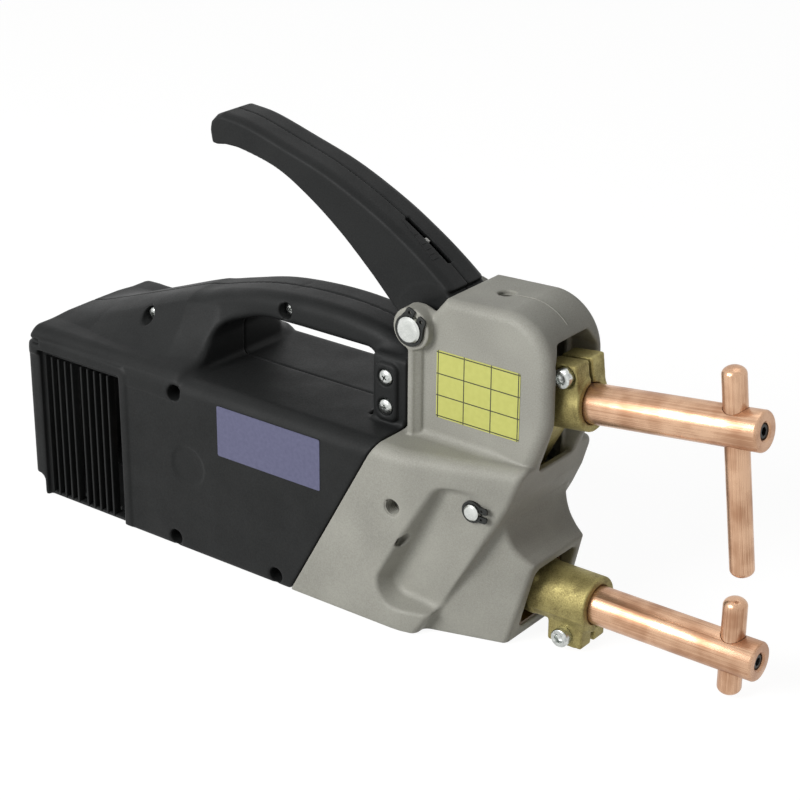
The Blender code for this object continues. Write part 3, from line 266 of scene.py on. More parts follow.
def casting_field(where):
    """The casting: negative inside the metal, in millimetres."""
    x, y, z = where
    wing = np.abs(y)
    # Wide lower body: flanks that turn in towards the front, one leaning front and round shoulders
    flank = ramp(x, (38, 43.5, 49, 120), (body_half, 49.6, 48.3, 26.3))
    front = ramp(z, (0, 67, 80, 92, shoulder_z), (51.9, 90.7, 97.2, 101.4, 103.8))
    wide = corner(corner((wing - flank) * 0.955, z - shoulder_z, 7.5), (x - front) * 0.865, 2.6)
    # Nose: its sides run parallel to the flanks, and a round neck rises from it to the head
    neck = [(100.5, 49.5), (96, 54), (93.2, 59.5), (91.8, 66), (91.9, 69.4)]
    snout = [(40, -9), (91.2, -9), (94.4, 3.2), (106, 46)] + smooth_line(neck) + [(84, 74), (40, 50)]
    nose = corner((wing - 41.8 + 0.3 * (x - 43.5)) * 0.957, outline(snout, x, z), 2.4)
    metal = weld(wide, nose, 2.4)
    # Narrow head, one outline from inside the wide body round the front to the boss
    brow = [(89.6, 66), (96.6, 80), (100.9, 92), (105.6, 104), (111, 119), (112, 126), (112, 140)]
    side = [(40, 60), (86, 60)] + smooth_line(brow) + bend(crown, crown_radius, 0, 88, 22)
    side += [(50, 173.6), (43, 165), (37, 166.5)] + bend(lever_axis, boss_radius, 110, 180) + [(28.4, 151), (28.4, 80)]
    head = corner(outline(side, x, z), wing - head_half, ramp(x, (55, 100), (5, 6.5)))
    metal = weld(metal, head, ramp(x, (80, 98), (4.5, 0.6)))
    metal = corner(metal, -z, 1.5)
    # Sunk panel in each flank: drafted walls down to a face square to the arm pin, run out at the front
    panel = [(120, 84.5), (68, 84.5)] + bend((66, 76.5), 8, 90, 150) + bend((41, 24), 12, 150, 270) + [(120, 12)]
    sunk = corner(outline(panel, x, z) - (wing - flank) * 0.35, panel_half - wing, 3)
    metal = carve(metal, sunk, 1.6)
    # Pivot boss with the stepped rib below it
    metal = weld(metal, corner(radial(x, z, lever_axis) - boss_radius, wing - boss_half, 0.7), 1.2)
    metal = weld(metal, slab((x, wing, z), (31.9, 10, 90), (35.4, 29.2, 150), 0.9), 1.2)
    step = slab((x, wing, z), (34, 10, 90), (38.8, 28.4, 148), 0.5)
    metal = weld(metal, corner(step, (wing - 28.4 + 0.8 * (x - 35.4)) * 0.78, 0.5), 0.8)
    metal = carve(metal, np.maximum(past_seam(x, z) - 0.6, z - 144), 0.8)
    tabs = slab((x, wing, z), (7, 15.0, 98), (36, 20.5, 127), 0.6)
    for hole in pad_screws:
        tabs = np.maximum(tabs, 2.2 - radial(x, z, hole))
    metal = np.minimum(metal, tabs)
    # Hollow inside, and the two windows for the arms
    hollow = [(10, 6), (88, 6), (92, 10), (100, 43), (92, 49), (88.4, 58), (86.4, 66), (92.8, 80), (97, 92),
              (101.6, 104), (106.6, 119), (107.3, 126), (107.3, 139), (100.5, 156), (90, 166), (77, 170),
              (49.6, 169.8), (49.6, 190), (10, 190)]
    wide_hollow = [(30, 6)] + hollow[1:] + [(10, 129), (30, 129)]
    inside = np.maximum(np.maximum(np.maximum(wide + 10, wing - 33), 6 - z), z - 92)
    inside = np.minimum(inside, np.maximum(outline(hollow, x, z), wing - 15))
    inside = np.minimum(inside, np.maximum(np.maximum(outline(wide_hollow, x, z), wing - 19.6), x - 94))
    metal = carve(metal, inside, 1)
    jamb = [(12.6, 97), (14.8, 118), (15.2, 152), (11.5, 158.4)]
    upper = [(-12.6, 97)] + jamb + [(-across, up) for across, up in reversed(jamb[1:])]
    metal = carve(metal, np.maximum(outline(upper, y, z) - 3, 96 - x), 1.2)
    metal = carve(metal, np.maximum(corner(wing - 18, np.abs(z - 24) - 17, 3.5), 84 - x), 1.8)
    # Bores of both pins, the tapped holes, and the small one drilled back from a milled seat in the panel's wall
    metal = carve(metal, radial(x, z, lever_axis) - 7.1, 0.4)
    metal = carve(metal, radial(x, z, arm_axis) - 4.5, 0.4)
    metal = carve(metal, cross_bar(where, side_hole, thread_bore, -60, -36), 0.7)
    metal = carve(metal, bar(where, (38.8, -46, 49.7), (58, -46, 54.9), 3.3), 0.5)
    metal = carve(metal, bar(where, (30, -46, 47.3), (40, -46, 50), 1.9), 0.3)
    return carve(metal, bar(where, (top_hole_x, 0, 160), (top_hole_x, 0, 190), thread_bore), 0.7)


# Bead-blasted cast aluminium: a dull warm grey with a fine even grit and the faintest of patches. The
# grit is really about 0.2 mm and is drawn at 0.7 mm, as coarse as it needs to be to show.
blasted_alloy, tree, _, grit, cloud = finish("bead_blasted_cast_aluminium", (0.7, 2.0), (30, 2.0))
coat(tree, stretched_sum(tree, cloud, grit, 0.6, 1.4), grit, ("#908F87", "#A9A89F"), (0.62, 0.5), (0.5, 0.1),
     Metallic=0.06, Specular_IOR_Level=0.25)

casting = skin("cast_head", casting_field, (-34, -53, -2.7), (116, 53, 180), 0.7)
fit(casting, "machine", "cast_aluminium", blasted_alloy, "head_casting")


# Parting ridge: the thin line of metal that the mould leaves along the middle of the casting's crown. It is
# one with the casting, and blasted with it.
def traced(name, lines, closed=False):
    """A curve of straight-sided lines through points."""
    curve = bpy.data.curves.new(name, "CURVE")
    for line in lines:
        spline = curve.splines.new("POLY")
        spline.points.add(len(line) - 1)
        for point, spot in zip(spline.points, line):
            point.co = (*spot, 1)
        spline.use_cyclic_u = closed
    return curve


def curve_mesh(curve):
    """The mesh that a curve's settings give."""
    guide = bpy.data.objects.new(curve.name, curve)
    mesh = bpy.data.meshes.new_from_object(guide)
    bpy.data.objects.remove(guide)
    return mesh


def beads(name, lines, radius):
    """Thin round beads along lines of points, as one mesh."""
    curve = traced(name, [[Vector(spot) * MM for spot in line] for line in lines])
    curve.dimensions = "3D"
    curve.bevel_depth = radius * MM
    curve.bevel_resolution = 2
    curve.use_fill_caps = True
    piece = put(name, curve_mesh(curve))
    piece.data.shade_smooth()
    return piece


ridge = [(x, 0, z) for x, z in [(75.5, 174.95)] + bend(crown, crown_radius, 90, 42, 16)]
fit(beads("parting_ridge.001", [ridge], 0.25), "machine", "cast_aluminium", blasted_alloy)

# Blank yellow film on the side of the head: printed vinyl pressed onto the casting, left without
# any marks but its ruled fields. The film is 0.25 mm thick with corners cut to 1 mm.
# Printed vinyl: flat pale yellow with a satin face, faintly mottled over about 3 mm, and dark rules 0.6 mm wide
yellow_film, tree, here, film_grain = finish("yellow_printed_vinyl", (3, 3.0))
place = add(tree, "ShaderNodeSeparateXYZ", {0: here}).outputs
ruled = 0.0
for axis, lines in (("X", (47.5, 63.0, 79.0, 94.9)), ("Z", (112.4, 123.4, 134.8, 146.1))):
    for line in lines:
        near = add(tree, "ShaderNodeMath", {0: place[axis], 1: line * MM, 2: 0.3 * MM}, operation="COMPARE")
        ruled = add(tree, "ShaderNodeMath", {0: ruled, 1: near}, operation="MAXIMUM")
tone = coat(tree, film_grain, film_grain, ("#BCBD60", "#CDCE74"), 0.42, (0.2, 0.1))
tone = add(tree, "ShaderNodeMix", {0: ruled, 6: tone, 7: colour("#3A3A26")}, data_type="RGBA").outputs[2]
feed(tree, tree.nodes["Principled BSDF"], {"Base Color": tone})


def make(name, bm):
    """Makes an object of a mesh, with its faces outward and its sharp edges kept."""
    bmesh.ops.remove_doubles(bm, verts=bm.verts, dist=1e-7)
    bmesh.ops.recalc_face_normals(bm, faces=bm.faces)
    mesh = bpy.data.meshes.new(name)
    bm.to_mesh(mesh)
    bm.free()
    mesh.shade_smooth()
    mesh.set_sharp_from_angle(angle=math.radians(30))
    return put(name, mesh)


def film(name, low, high, face, surface):
    """A thin film with round corners on the right-hand side of the machine."""
    thick, lift, round_ = 0.25, 0.02, 1.0
    left, right, foot, top = low[0] + round_, high[0] - round_, low[1] + round_, high[1] - round_
    ring = []
    for turn, centre in enumerate(((right, top), (left, top), (left, foot), (right, foot))):
        ring += bend(centre, round_, 90 * turn, 90 * turn + 90, 4)
    bm = bmesh.new()
    sides = [[bm.verts.new(Vector((u, face - out, v)) * MM) for u, v in ring] for out in (thick, lift)]
    for side in sides:
        bm.faces.new(side)
    front, back = sides
    for i in range(len(ring)):
        bm.faces.new((front[i - 1], front[i], back[i], back[i - 1]))
    return fit(make(name, bm), "machine", "white_plastic", surface)


film("head_film", (46.6, 111.5), (95.8, 147), -head_half, yellow_film)

# Lower arm clamp: a sand-cast brass bar bolted to the transformer, its barrel split below and
# pinched round the arm by one bolt. The skin is left as cast, with a rough flash line at mid height.
# Sand-cast brass: olive yellow, rough with sand grains of about 0.7 mm, brighter where grains stand proud
sand_brass, tree, _, sand, cloud = finish("sand_cast_brass", (0.7, 3.0), (7, 3.0))
coat(tree, stretched_sum(tree, cloud, sand, 0.7, 1.3), sand, ("#776C43", "#ABA068"), (0.66, 0.46), (0.8, 0.16),
     Metallic=0.75)

lower_z, terminal, lower_pinch = 23.6, (-22.0, 47.0), (117.7, 7.2)


def lower_clamp_field(where):
    """The lower clamp: barrel, neck and the bar that leads back to the terminal."""
    x, y, z = where
    brass = bar(where, (96, 0, lower_z), (130, 0, lower_z), 14.5, 1.0)
    brass = weld(brass, slab(where, (36, -12, 13), (100, 12, 34.5), 2), 2)
    brass = weld(brass, slab(where, (34, -30.6, 16), (44, 10, 34), 1), 1)
    brass = weld(brass, slab(where, (-34, -30.6, 16), (44, -20.6, 34), 1), 1)
    brass = weld(brass, slab(where, (-34, -30.6, 30), (-10, -20.6, 58), 1), 1)
    brass = weld(brass, slab(where, (107.5, -11, 1.4), (127.5, 11, 18), 1.2), 1.5)
    # Raised seat under the bolt head, and the flash line along the barrel's sides
    brass = weld(brass, slab(where, (111.5, -11.25, 1.6), (124, 0, 13.5), 0.5), 0.4)
    flash = np.maximum(np.abs(z - lower_z + 5.4) - 0.55, np.abs(x - 113) - 16.2)
    brass = weld(brass, np.maximum(flash, np.abs(y) - 13.75), 0.5)
    brass = carve(brass, bar(where, (84, 0, lower_z), (140, 0, lower_z), 10.3), 0.6)
    brass = carve(brass, np.maximum(np.maximum(np.abs(y) - 1.6, 104 - x), z - lower_z), 0.6)
    brass = carve(brass, cross_bar(where, lower_pinch, 3.3, -30, 30), 0.4)
    return carve(brass, cross_bar(where, terminal, 3.3, -40, 0), 0.4)


clamp = skin("lower_clamp", lower_clamp_field, (-35.8, -32.4, -0.6), (131.5, 16.5, 60), 0.6)
fit(clamp, "machine", "cast_brass", sand_brass, "lower_arm_holder")


# Lower arm: 20 mm drawn copper bar, cut and chamfered at the end, cross drilled for the electrode and
# tapped in the end for a set screw. Drawing leaves long fine streaks along it.
def drawn_copper(name, pitch):
    """Drawn copper whose streaks run along an axis that rises by an angle: 0 along X, a right angle along Z."""
    made, tree, here, stain = finish(name, (14, 2.0))
    level = add(tree, "ShaderNodeVectorRotate", {"Vector": here, "Angle": pitch}, rotation_type="Y_AXIS")
    # Die marks about 0.3 mm apart that run for 60 mm, and tarnish in patches of 14 mm
    drawn = add(tree, "ShaderNodeMapping", {"Vector": level, "Scale": (1 / 60, 3.5, 3.5)})
    marks = add(tree, "ShaderNodeTexNoise", {"Vector": drawn, "Scale": 1 / MM, "Detail": 4.0})
    coat(tree, stretched_sum(tree, marks, stain, 0.82, 1.2), marks, ("#AC8062", "#DEB696"), (0.36, 0.24),
         (0.3, 0.05), Metallic=0.8)
    return made


def turned(name, profile, start, heading, steps=72):
    """A turned piece: (radius, distance along its axis) points spun round, closed where the radius is 0."""
    bm = bmesh.new()
    frame_ = Matrix.Translation(Vector(start)) @ Vector(heading).to_track_quat("Z", "Y").to_matrix().to_4x4()
    rings = []
    for radius, reach in profile:
        turns = [2 * math.pi * i / steps for i in range(steps if radius else 1)]
        spots = [frame_ @ Vector((radius * math.cos(t), radius * math.sin(t), reach)) for t in turns]
        rings.append([bm.verts.new(spot * MM) for spot in spots])
    for near, far in zip(rings, rings[1:]):
        for i in range(steps):
            spots = [near[i % len(near)], near[(i + 1) % len(near)], far[(i + 1) % len(far)], far[i % len(far)]]
            bm.faces.new(list(dict.fromkeys(spots)))
    return make(name, bm)


def machine(piece, cutters, edge=0.0):
    """Cuts tools away from a piece, and breaks the edges that they leave."""
    for cutter in cutters:
        cut = piece.modifiers.new("cut", "BOOLEAN")
        cut.operation = "DIFFERENCE"
        cut.object = cutter
    if edge:
        chamfer = piece.modifiers.new("edge", "BEVEL")
        chamfer.width = edge * MM
        chamfer.segments = 2
        chamfer.limit_method = "ANGLE"
        chamfer.angle_limit = math.radians(40)
    settle(piece)
    for cutter in cutters:
        bpy.data.objects.remove(cutter)
    piece.data.shade_smooth()
    piece.data.set_sharp_from_angle(angle=math.radians(30))
    return piece


def copper_arm(name, back, tip, seat, across):
    """A copper bar from back to tip, with the electrode's eye and the set screw's tapped hole."""
    back, tip, seat, across = Vector(back), Vector(tip), Vector(seat), Vector(across)
    length = (tip - back).length
    profile = [(0, 0), (9.4, 0), (10, 0.6), (10, length - 1.1), (9.7, length - 0.5), (9.2, length), (0, length)]
    piece = turned(name, profile, back, tip - back, 96)
    eye = turned("eye", [(0, 0), (6.25, 0), (6.25, 60), (0, 60)], seat - across * 30, across)
    tapped = [(0, 0), (4.2, 0), (4.2, 14.2), (5.4, 15.1), (5.4, 20), (0, 20)]
    hole = turned("tapped", tapped, seat, tip - back, 48)
    return machine(piece, [eye, hole], 0.25)


arm_end, tip_x = 220.0, 205
copper_level = drawn_copper("drawn_copper_level", 0.0)
arm = copper_arm("lower_copper_arm", (84.6, 0, lower_z), (arm_end, 0, lower_z), (tip_x, 0, lower_z), (0, 0, 1))
fit(arm, "machine", "copper", copper_level, "lower_arm")


# Lower electrode: a 12 mm copper rod with both ends turned to a dome, pushed up through the arm and held
# by the set screw, a black steel grub screw with a hexagon socket.
def electrode(name, foot, heading, length):
    """A rod with a dome at each end, from its foot along its heading."""
    dome = [(6 * math.sin(t), 4.2 * (1 - math.cos(t))) for t in np.linspace(0, math.pi / 2, 14)]
    return turned(name, dome + [(r, length - s) for r, s in reversed(dome)], foot, heading, 64)


def hexagon(name, face, heading, across, depth):
    """The cutter of a hexagon socket, with a cone at its foot."""
    return turned(name, [(0, -2), (across, -2), (across, depth), (0, depth + across * 0.4)], face, heading, 6)


def set_screw(name, face, inward):
    """A grub screw with a hexagon socket in its face."""
    profile = [(0, 0), (3.3, 0), (4.0, 0.7), (4.0, 7.0), (3.6, 7.4), (0, 7.4)]
    piece = turned(name, profile, face, inward, 48)
    return machine(piece, [hexagon("socket", face, inward, 2.3, 3.2)], 0.12)


# Black oxide on steel: near black with a soft oily sheen and slightly brown patches of about 2 mm
black_oxide, tree, _, cloud = finish("black_oxide_steel", (2, 4.0))
coat(tree, cloud, cloud, ("#202222", "#3C3D3B"), (0.5, 0.32), (0.2, 0.05), Metallic=0.7)

copper_upright = drawn_copper("drawn_copper_upright", math.pi / 2)
tip = electrode("lower_copper_tip", (tip_x, 0, 1.2), (0, 0, 1), 52.2)
fit(tip, "lower_electrode", "copper", copper_upright, "lower_electrode")
screw = set_screw("lower_grub_screw", (arm_end - 1, 0, lower_z), (-1, 0, 0))
fit(screw, "machine", "black_steel", black_oxide, "lower_set_screw")

# Clamp, terminal and strap bolts: zinc-plated steel socket-head bolts with rolled shanks. The plating
# is bright grey with a faint crystalline mottle of about 1.2 mm.
zinc_plate, tree, here, cloud = finish("zinc_plated_steel", (1.5, 3.0))
spangle = add(tree, "ShaderNodeTexVoronoi", {"Vector": here, "Scale": 1 / (1.2 * MM)}).outputs["Color"]
grey = add(tree, "ShaderNodeRGBToBW", {0: spangle})
coat(tree, stretched_sum(tree, cloud, grey, 0.5, 1.5), cloud, ("#A7AAA8", "#D9DCD8"), (0.34, 0.2), (0.15, 0.05),
     Metallic=1.0)


def socket_bolt(name, seat, reach, way=1):
    """A socket-head bolt along Y: way 1 has its head on the right-hand side."""
    head = [(0, -5), (4.1, -5), (4.65, -4.75), (4.9, -4.2), (4.9, -0.25), (4.7, 0), (3.0, 0)]
    profile = head + [(3.0, reach - 0.6), (2.5, reach), (0, reach)]
    face = (seat[0], seat[1] - 5 * way, seat[2])
    piece = turned(name, profile, seat, (0, way, 0), 48)
    return machine(piece, [hexagon("socket", face, (0, way, 0), 2.75, 2.3)], 0.15)


def dress(surface, *names):
    """Gives CAD nodes that keep their shape a finish."""
    for name in names:
        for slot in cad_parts[name].material_slots:
            slot.material = surface


bolt = socket_bolt("lower_pinch_bolt", (lower_pinch[0], -11.3, lower_pinch[1]), 24)
fit(bolt, "machine", "bright_steel", zinc_plate, "lower_clamp_bolt")
dress(zinc_plate, "terminal_bolt_left", "terminal_bolt_right", "strap_bolt")

# Insulators: a liner of resin-bonded paper board round the lower clamp and a bush of the same on the
# arm pin. Sawn edges show thin brown layers, drawn 0.75 mm apart, with resin in patches of about 4 mm.
resin_board, tree, here, cloud = finish("resin_bonded_paper_board", (4, 4.0))
layers = add(tree, "ShaderNodeTexWave", {"Vector": here, "Scale": 1 / (2.4 * MM), "Distortion": 2.0, "Detail": 2.0},
             bands_direction="Z").outputs["Fac"]
mixed = add(tree, "ShaderNodeMath", {0: cloud, 1: layers}, operation="MULTIPLY")
coat(tree, mixed, cloud, ("#4A371C", "#8A6A38"), 0.5, (0.3, 0.08))
dress(resin_board, "lower_insulator", "arm_pivot_bush")

# Upper arm clamp: a sand-cast brass rocker on the arm pin. Its barrel opens upward into two straight
# lugs that the bolt pinches together, and its tail carries the flexible strap.
tilt = math.radians(6.9)
arm_tip = Vector((213.3, 0, 141.5))
forward = Vector((math.cos(tilt), 0, math.sin(tilt)))
upward = Vector((-math.sin(tilt), 0, math.cos(tilt)))
link_eye, strap_eye = (62.0, 140.0), (75.0, 50.0)


def on_arm(back, rise=0.0):
    """A point of the upper arm, measured back from the middle of its end."""
    return arm_tip - forward * back + upward * rise


upper_pinch = on_arm(99, 16.5)


def upper_clamp_field(where):
    """The upper clamp: barrel and lugs, the web with the link's eye, the pivot's hub and the strap's tail."""
    x, y, z = where
    wing = np.abs(y)
    brass = bar(where, on_arm(112), on_arm(92), 14, 1.0)
    back = (arm_tip.x - x) * forward.x + (arm_tip.z - z) * forward.z
    rise = (x - arm_tip.x) * upward.x + (z - arm_tip.z) * upward.z
    lugs = slab((back, wing, rise), (92.4, -20, -2), (110, 12.7, 22.5), 1.3)
    brass = weld(brass, lugs, 1.0)
    web = [(71.8, 69.5), (84.4, 70), (90.5, 90.5), (102, 112), (104, 138), (62, 148)]
    web += bend(link_eye, 8, 90, 225) + [(71, 118), (71.8, 96)]
    brass = weld(brass, corner(outline(web, x, z), wing - 11, 1.5), 2)
    brass = weld(brass, cross_bar(where, arm_axis, 8.8, -16, 16, 0.8), 1.5)
    tail = [(72.4, 75.5)] + bend(strap_eye, 7.5, 180, 360) + [(85.4, 75.5)]
    brass = weld(brass, corner(outline(tail, x, z), wing - 11, 1.2), 1.5)
    brass = carve(brass, bar(where, on_arm(108), on_arm(70), 10.3), 0.6)
    brass = carve(brass, np.maximum(wing - 1.2, -rise), 0.5)
    brass = carve(brass, cross_bar(where, upper_pinch.xz, 5.6, -30, -11.5), 0.5)
    for eye, radius in ((link_eye, 3.3), (strap_eye, 3.3), (arm_axis, 6.0), (upper_pinch.xz, 3.3)):
        brass = carve(brass, radial(x, z, eye) - radius, 0.4)
    return carve(brass, slab(where, (40, -5.6, 128), (71.5, 5.6, 156)), 0.5)


clamp = skin("upper_clamp", upper_clamp_field, (52, -17.4, 41), (130, 17.4, 156), 0.6)
fit(clamp, "upper_arm", "cast_brass", sand_brass, "upper_arm_holder")

# Upper arm, electrode, set screw and pinch bolt: the same drawn copper, black grub screw and plated bolt as
# below, held by the swinging clamp and leaning with it.
copper_tilted = drawn_copper("drawn_copper_tilted", tilt)
copper_leaning = drawn_copper("drawn_copper_leaning", tilt + math.pi / 2)
arm = copper_arm("upper_copper_arm", on_arm(107.4), on_arm(0), on_arm(15), upward)
fit(arm, "upper_arm", "copper", copper_tilted, "upper_arm")
tip = electrode("upper_copper_tip", on_arm(15, -75), upward, 104.9)
fit(tip, "upper_electrode", "copper", copper_leaning, "upper_electrode")
screw = set_screw("upper_grub_screw", on_arm(1), -forward)
fit(screw, "upper_arm", "black_steel", black_oxide, "upper_set_screw")
bolt = socket_bolt("upper_pinch_bolt", (upper_pinch.x, -11.8, upper_pinch.z), 24)
fit(bolt, "upper_arm", "bright_steel", zinc_plate, "upper_clamp_bolt")

# Transformer: a stack of 0.5 mm silicon steel laminations with a taped and varnished primary, and a
# secondary of one turn of copper bar with a flexible copper strap.
# The sheets lie side by side across Y as grey stripes; they are drawn 3 mm apart so that they show
lamination, tree, here, cloud = finish("laminated_silicon_steel", (6, 3.0))
sheets = add(tree, "ShaderNodeTexWave", {"Vector": here, "Scale": 1 / (9.4 * MM), "Distortion": 0.4},
             bands_direction="Y").outputs["Fac"]
mixed = add(tree, "ShaderNodeMath", {0: sheets, 1: cloud}, operation="MULTIPLY")
coat(tree, mixed, sheets, ("#3B3D42", "#7C7F86"), 0.5, (0.5, 0.1), Metallic=0.8)
dress(lamination, "transformer_core")

# Tape wound round the coil and dipped in dark varnish: soft ridges 30 mm apart and glossy brown pools of 8 mm
varnished_tape, tree, here, pools = finish("varnished_winding_tape", (8, 4.0))
wraps = add(tree, "ShaderNodeTexWave", {"Vector": here, "Scale": 1 / (94 * MM), "Distortion": 1.0, "Detail": 2.0},
            bands_direction="Z").outputs["Fac"]
coat(tree, pools, wraps, ("#1A100A", "#3A2415"), 0.45, (0.6, 0.3))
dress(varnished_tape, "primary_winding")
dress(copper_level, "secondary_loop", "flexible_strap")

# Weld switch, its plunger and the control board: a black moulded micro switch with a white plunger,
# and a glass-fibre board under green solder mask.
# Solder mask: glossy green, faintly dimpled by the weave of the glass cloth, about 1.1 mm
solder_mask, tree, here = finish("green_solder_mask")
weave = add(tree, "ShaderNodeTexVoronoi", {"Vector": here, "Scale": 1 / (1.1 * MM)}).outputs["Distance"]
coat(tree, weave, weave, ("#12422A", "#1F6340"), 0.35, (0.2, 0.04))
dress(solder_mask, "control_board")

# Moulded acetal: slightly waxy white with a faint flow mottle of about 2 mm
white_acetal, tree, _, flow = finish("white_moulded_acetal", (2, 2.0))
coat(tree, flow, flow, ("#DADAD4", "#F2F2EE"), 0.4, (0.1, 0.05))
dress(white_acetal, "switch_plunger")

# Housing: two halves moulded in black glass-filled nylon, split down the middle and screwed together
# from the right. The upper part narrows into a carrying grip, and each rear side has a vent grille.
# Spark-eroded mould texture: fine even pits, really about 0.3 mm, drawn at 0.8 mm so that they show
moulded_nylon, tree, _, pits, cloud = finish("spark_textured_black_nylon", (0.8, 2.0), (20, 4.0))
coat(tree, stretched_sum(tree, cloud, pits, 0.6, 1.4), pits, ("#1B1C1C", "#252626"), (0.6, 0.44), (0.5, 0.12),
     Specular_IOR_Level=0.15)

# Each side screw: its place in the side view, how far out the face is there, and how deep the well is
side_screws = ((-107, 91, body_half, 16), (-148.5, 116.5, 26, 9), (-55.5, 140, 18.5, 7), (-109, 5.3, body_half, 12),
               (-38, 5.3, body_half, 12))
rear_x, inlet_z, vent_x, vent_top = -218.5, 34, -177.5, 90.4
# The grip's crest in the side view, and its half widths along the crest and along the shoulder
crest_line = [(-217, 103), (-207, 105), (-192, 109.5), (-178, 114), (-155, 122), (-124, 133), (-95, 141.6),
              (-72, 146.5), (-45, 149), (-20, 149), (2, 146.5), (14, 143), (27.7, 138), (40, 133)]
crest_half = [(-217, 20), (-124, 20), (-95, 18.5), (-60, 18.5), (40, 18.5)]
root_half = [(-217, 48), (-160, 47.7), (-104, 46), (-88, 36), (-70, 19.5), (-50, 19), (40, 19)]
# Underside of the grip over the finger gap
ceiling_line = [(-215, 115), (-140, 115.5), (-118, 116), (-108, 116.5), (-103.5, 117.5), (-99, 121), (-92, 125.5),
                (-80, 130), (-69, 132.4), (-50, 133), (-30, 133), (40, 133)]


def along(stations, x):
    """Reads a smooth curve through (x, value) stations."""
    return ramp(x, *zip(*smooth_line(stations)))


def housing_field(where, side):
    """One half of the housing: side -1 is the right one, with the screw wells."""
    x, y, z = where
    wing = np.abs(y)
    box = corner(corner(corner(wing - body_half, z - shoulder_z, 10), -z, 2.5), rear_x - x, 5)
    # Upper part: a flank that dishes in from the shoulder and a round crest
    crest, top, foot = along(crest_line, x), along(crest_half, x), along(root_half, x)
    tall = crest - np.minimum(7.2, crest - 98) - 97
    rise = np.clip((z - 97) / tall, 0, 1)
    flank = foot + (top - foot) * rise - 3 * np.sin(math.pi * rise) * (foot - top) / 18.5
    arch = corner((wing - flank) / np.hypot(1, (foot - top) / tall), z - crest, 8)
    arch = np.maximum(corner(arch, rear_x + 2 - x, 4), 88 - z)
    # Roof of the rear end: it falls from the crest's edges to level shoulders
    flat_half, fall_wide = 20, 23
    slope = (crest - 101.6) / fall_wide
    sag = np.sin(math.pi * np.clip((wing - flat_half) / fall_wide, 0, 1))
    roof = crest - slope * np.maximum(wing - flat_half, 0) - ramp(x, (-165, -110), (0, 2)) * sag
    roof -= 0.009 * np.minimum(wing, flat_half) ** 2 * np.clip((x + 215) / 30, 0, 1)
    roof = np.maximum(roof - ramp(x, (-122, -98), (0, 10)), 102.4)
    cover = corner(corner((z - roof) / np.hypot(1, slope), wing - 49.6, 8), rear_x + 2 - x, 4)
    # Finger gap, swept back a little towards the sides; the roof ends in its rear wall
    rear = -100 - 4 * np.clip((wing - 30) / 16, 0, 1)
    arch = weld(arch, corner(np.maximum(cover, 88 - z), x - rear, 2), 3)
    gap = corner(corner(rear - x, z - along(ceiling_line, x), 5), x - 3, 6)
    outer = weld(box, carve(arch, gap, 4.5), ramp(x, (-125, -95), (2, 4)))
    outer = weld(outer, slab((x, wing, z), (6, -30, 80), (50, 24.6, 136), 3), 3)
    # Hollow, thicker behind the vent, and the room for the casting's tabs
    hollow = np.maximum(outer + 4, np.where(x < -140, wing - 42, -99).astype(np.float32))
    hollow = np.minimum(hollow, slab((x, wing, z), (2, -30, 88), (50, 21, 128)))
    pad = corner(corner(np.abs(x - pad_screws[0][0]) - 7, np.abs(z - 117) - 15.5, 4), wing - 27, 1.6)
    outer = weld(outer, np.maximum(pad, 20 - wing), 0.9)
    shell = carve(outer, hollow, 0.5)
    shell = corner(shell, past_seam(x, z), 0.8)
    # Raised border of the vent, its recess and the opening behind the ribs
    edge = [(-209, vent_top), (-146.9, vent_top), (-146.9, 1), (-141.4, 1)]
    edge += bend((-146.4, 91), 5, 0, 90) + [(-209, 96)]
    border = np.maximum(corner(outline(edge, x, z), wing - 50.9, 1.2), 47 - wing)
    shell = weld(shell, border, 0.7)
    sunk = corner(corner(np.abs(x - vent_x) - 30.7, z - vent_top, 1), 46.5 - wing, 0.5)
    shell = carve(shell, sunk, 0.7)
    opening = np.maximum(np.abs(x - vent_x) - 28.9, np.abs(z - 44.3) - 42.2)
    shell = np.maximum(shell, -np.maximum(opening, 40 - wing))
    for screw_x, screw_z, face, deep in side_screws:
        from_screw, from_post = radial(x, z, (screw_x, screw_z)), radial(x, z, (screw_x, max(screw_z, 5.5)))
        post = corner(from_post - 5, wing - face + 2, 0.5)
        if side < 0:
            tube = np.maximum(face - deep - 4 - wing, wing - face + 1)
            post = np.minimum(post, np.maximum(from_post - 6, tube))
        shell = np.minimum(shell, np.maximum(post, outer + 0.6))
        shell = np.maximum(shell, 2.3 - from_screw)
        if side < 0:
            shell = carve(shell, np.maximum(from_screw - 4.3, face - deep - wing), 0.7)
    shell = np.maximum(shell, 0.02 - z)
    # Groove round the rear corners, under the roof's edge
    shell = carve(shell, np.maximum(np.maximum(np.abs(z - 94.8) - 1.3, -outer - 1.9), x + 207), 1.2)
    # Oblong mark across the top of the grip
    mark = np.hypot(x + 59, np.maximum(np.abs(y - 1) - 4.6, 0)) - 1.7
    shell = carve(shell, np.maximum(mark, 147.9 - z), 0.3)
    # Round mark on the right side and the bite at its rear bottom corner
    if side < 0:
        shell = carve(shell, np.maximum(radial(x, z, (-98, 51)) - 11, 49.4 - wing), 0.5)
        shell = carve(shell, np.maximum(corner(x + 210, z - 12.8, 4), 38 - wing), 0.7)
    # Room for the lever's hub, the cord inlet's hole, and the holes of the pads
    shell = carve(shell, np.maximum(radial(x, z, lever_axis) - 21.5, wing - 16.6), 1)
    shell = carve(shell, np.maximum(np.hypot(y, z - inlet_z) - 9.3, x + 206), 0.6)
    for hole in pad_screws:
        shell = carve(shell, np.maximum(radial(x, z, hole) - 2.3, 15 - wing), 0.3)
        shell = carve(shell, np.maximum(radial(x, z, hole) - 4.6, 25.2 - wing), 0.5)
    return corner(shell, 0.15 - side * y, 0.6)


